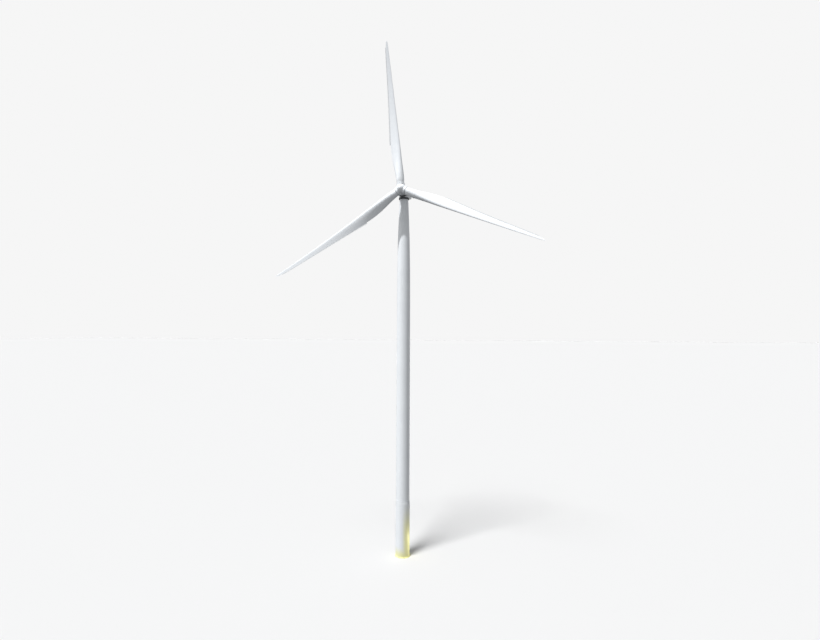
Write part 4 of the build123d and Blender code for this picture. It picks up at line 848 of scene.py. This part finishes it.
def sun(name, azim, elev, strength, angle, color=(1, 1, 1)):
    """azim: degrees from straight ahead of the camera, positive to the right, of where the light goes."""
    a, e = math.radians(azim), math.radians(elev)
    d = (right * math.sin(a) + away * math.cos(a)) * math.cos(e) - Vector((0, 0, 1)) * math.sin(e)
    li = bpy.data.lights.new(name, "SUN")
    li.energy = strength
    li.angle = math.radians(angle)
    li.color = color
    o = bpy.data.objects.new(name, li)
    o.rotation_mode = "QUATERNION"
    o.rotation_quaternion = d.to_track_quat("-Z", "Y")
    bpy.context.scene.collection.objects.link(o)
    return o


FLOOR_O = bpy.data.objects["floor"]
FLOOR_O.visible_diffuse = False
FLOOR_O.visible_glossy = False
key = sun("key", KEY[0], KEY[1], KEY[2], KEY[3], (0.985, 0.995, 1.0))
soft = sun("floor_light", 37, 62, FLOOR_SUN, 18)
fill = sun("left_fill", 80, 18, 0.42, 50)
li = bpy.data.lights.new("foot_glow", "AREA")
li.shape, li.size, li.size_y = "RECTANGLE", 3.0, 9.0
li.energy = 620.0
li.color = (1.0, 0.95, 0.62)
glow = bpy.data.objects.new("foot_glow", li)
spot = right * 10.0 - away * 0.5 + Vector((0, 0, 5.0))
glow.location = spot
glow.rotation_mode = "QUATERNION"
glow.rotation_quaternion = (Vector((0, 0, 5.0)) - spot).to_track_quat("-Z", "Z")
glow.visible_camera = False
bpy.context.scene.collection.objects.link(glow)
for light, state in ((key, "EXCLUDE"), (fill, "EXCLUDE"), (glow, "EXCLUDE"), (soft, "INCLUDE")):
    c = bpy.data.collections.new(light.name + "_receivers")
    c.objects.link(FLOOR_O)
    light.light_linking.receiver_collection = c
    c.collection_objects[0].light_linking.link_state = state

w = bpy.data.worlds.new("world")
bpy.context.scene.world = w
w.use_nodes = True
nt = w.node_tree
nt.nodes.clear()
out = nt.nodes.new("ShaderNodeOutputWorld")
bg1 = nt.nodes.new("ShaderNodeBackground")
bg1.inputs[0].default_value = (0.97, 0.985, 1.0, 1)
tc = nt.nodes.new("ShaderNodeTexCoord")
sp = nt.nodes.new("ShaderNodeSeparateXYZ")
nt.links.new(tc.outputs["Generated"], sp.inputs[0])
up_part = remap(nt, sp.outputs[2], SKY[1], SKY[0], 0.0, 0.8, True)
down_part = remap(nt, sp.outputs[2], SKY[2] - SKY[1], 0.0, -0.8, 0.0, True)
bg_s = math_node(nt, "ADD", up_part, down_part)
nt.links.new(bg_s, bg1.inputs[1])
bg2 = nt.nodes.new("ShaderNodeBackground")
bg2.inputs[0].default_value = (1, 1, 1, 1)
bg2.inputs[1].default_value = 0.921
lp = nt.nodes.new("ShaderNodeLightPath")
mx = nt.nodes.new("ShaderNodeMixShader")
nt.links.new(lp.outputs["Is Camera Ray"], mx.inputs[0])
nt.links.new(bg1.outputs[0], mx.inputs[1])
nt.links.new(bg2.outputs[0], mx.inputs[2])
nt.links.new(mx.outputs[0], out.inputs[0])

cam = bpy.data.cameras.new("camera")
cam.sensor_width = 36.0
cam.lens = FOCAL_PX / 820.0 * 36.0
cam.clip_start, cam.clip_end = 1.0, 20000.0
co = bpy.data.objects.new("camera", cam)
fwd = Vector((-math.sin(PAN) * math.cos(PITCH), math.cos(PAN) * math.cos(PITCH), math.sin(PITCH)))
upc = right.cross(fwd)
r2 = right * math.cos(ROLL) + upc * math.sin(ROLL)
u2 = -right * math.sin(ROLL) + upc * math.cos(ROLL)
co.matrix_world = columns(r2, u2, -fwd, CAM)
bpy.context.scene.collection.objects.link(co)
bpy.context.scene.camera = co
bpy.context.scene.view_settings.view_transform = "Standard"
bpy.context.scene.view_settings.look = "None"
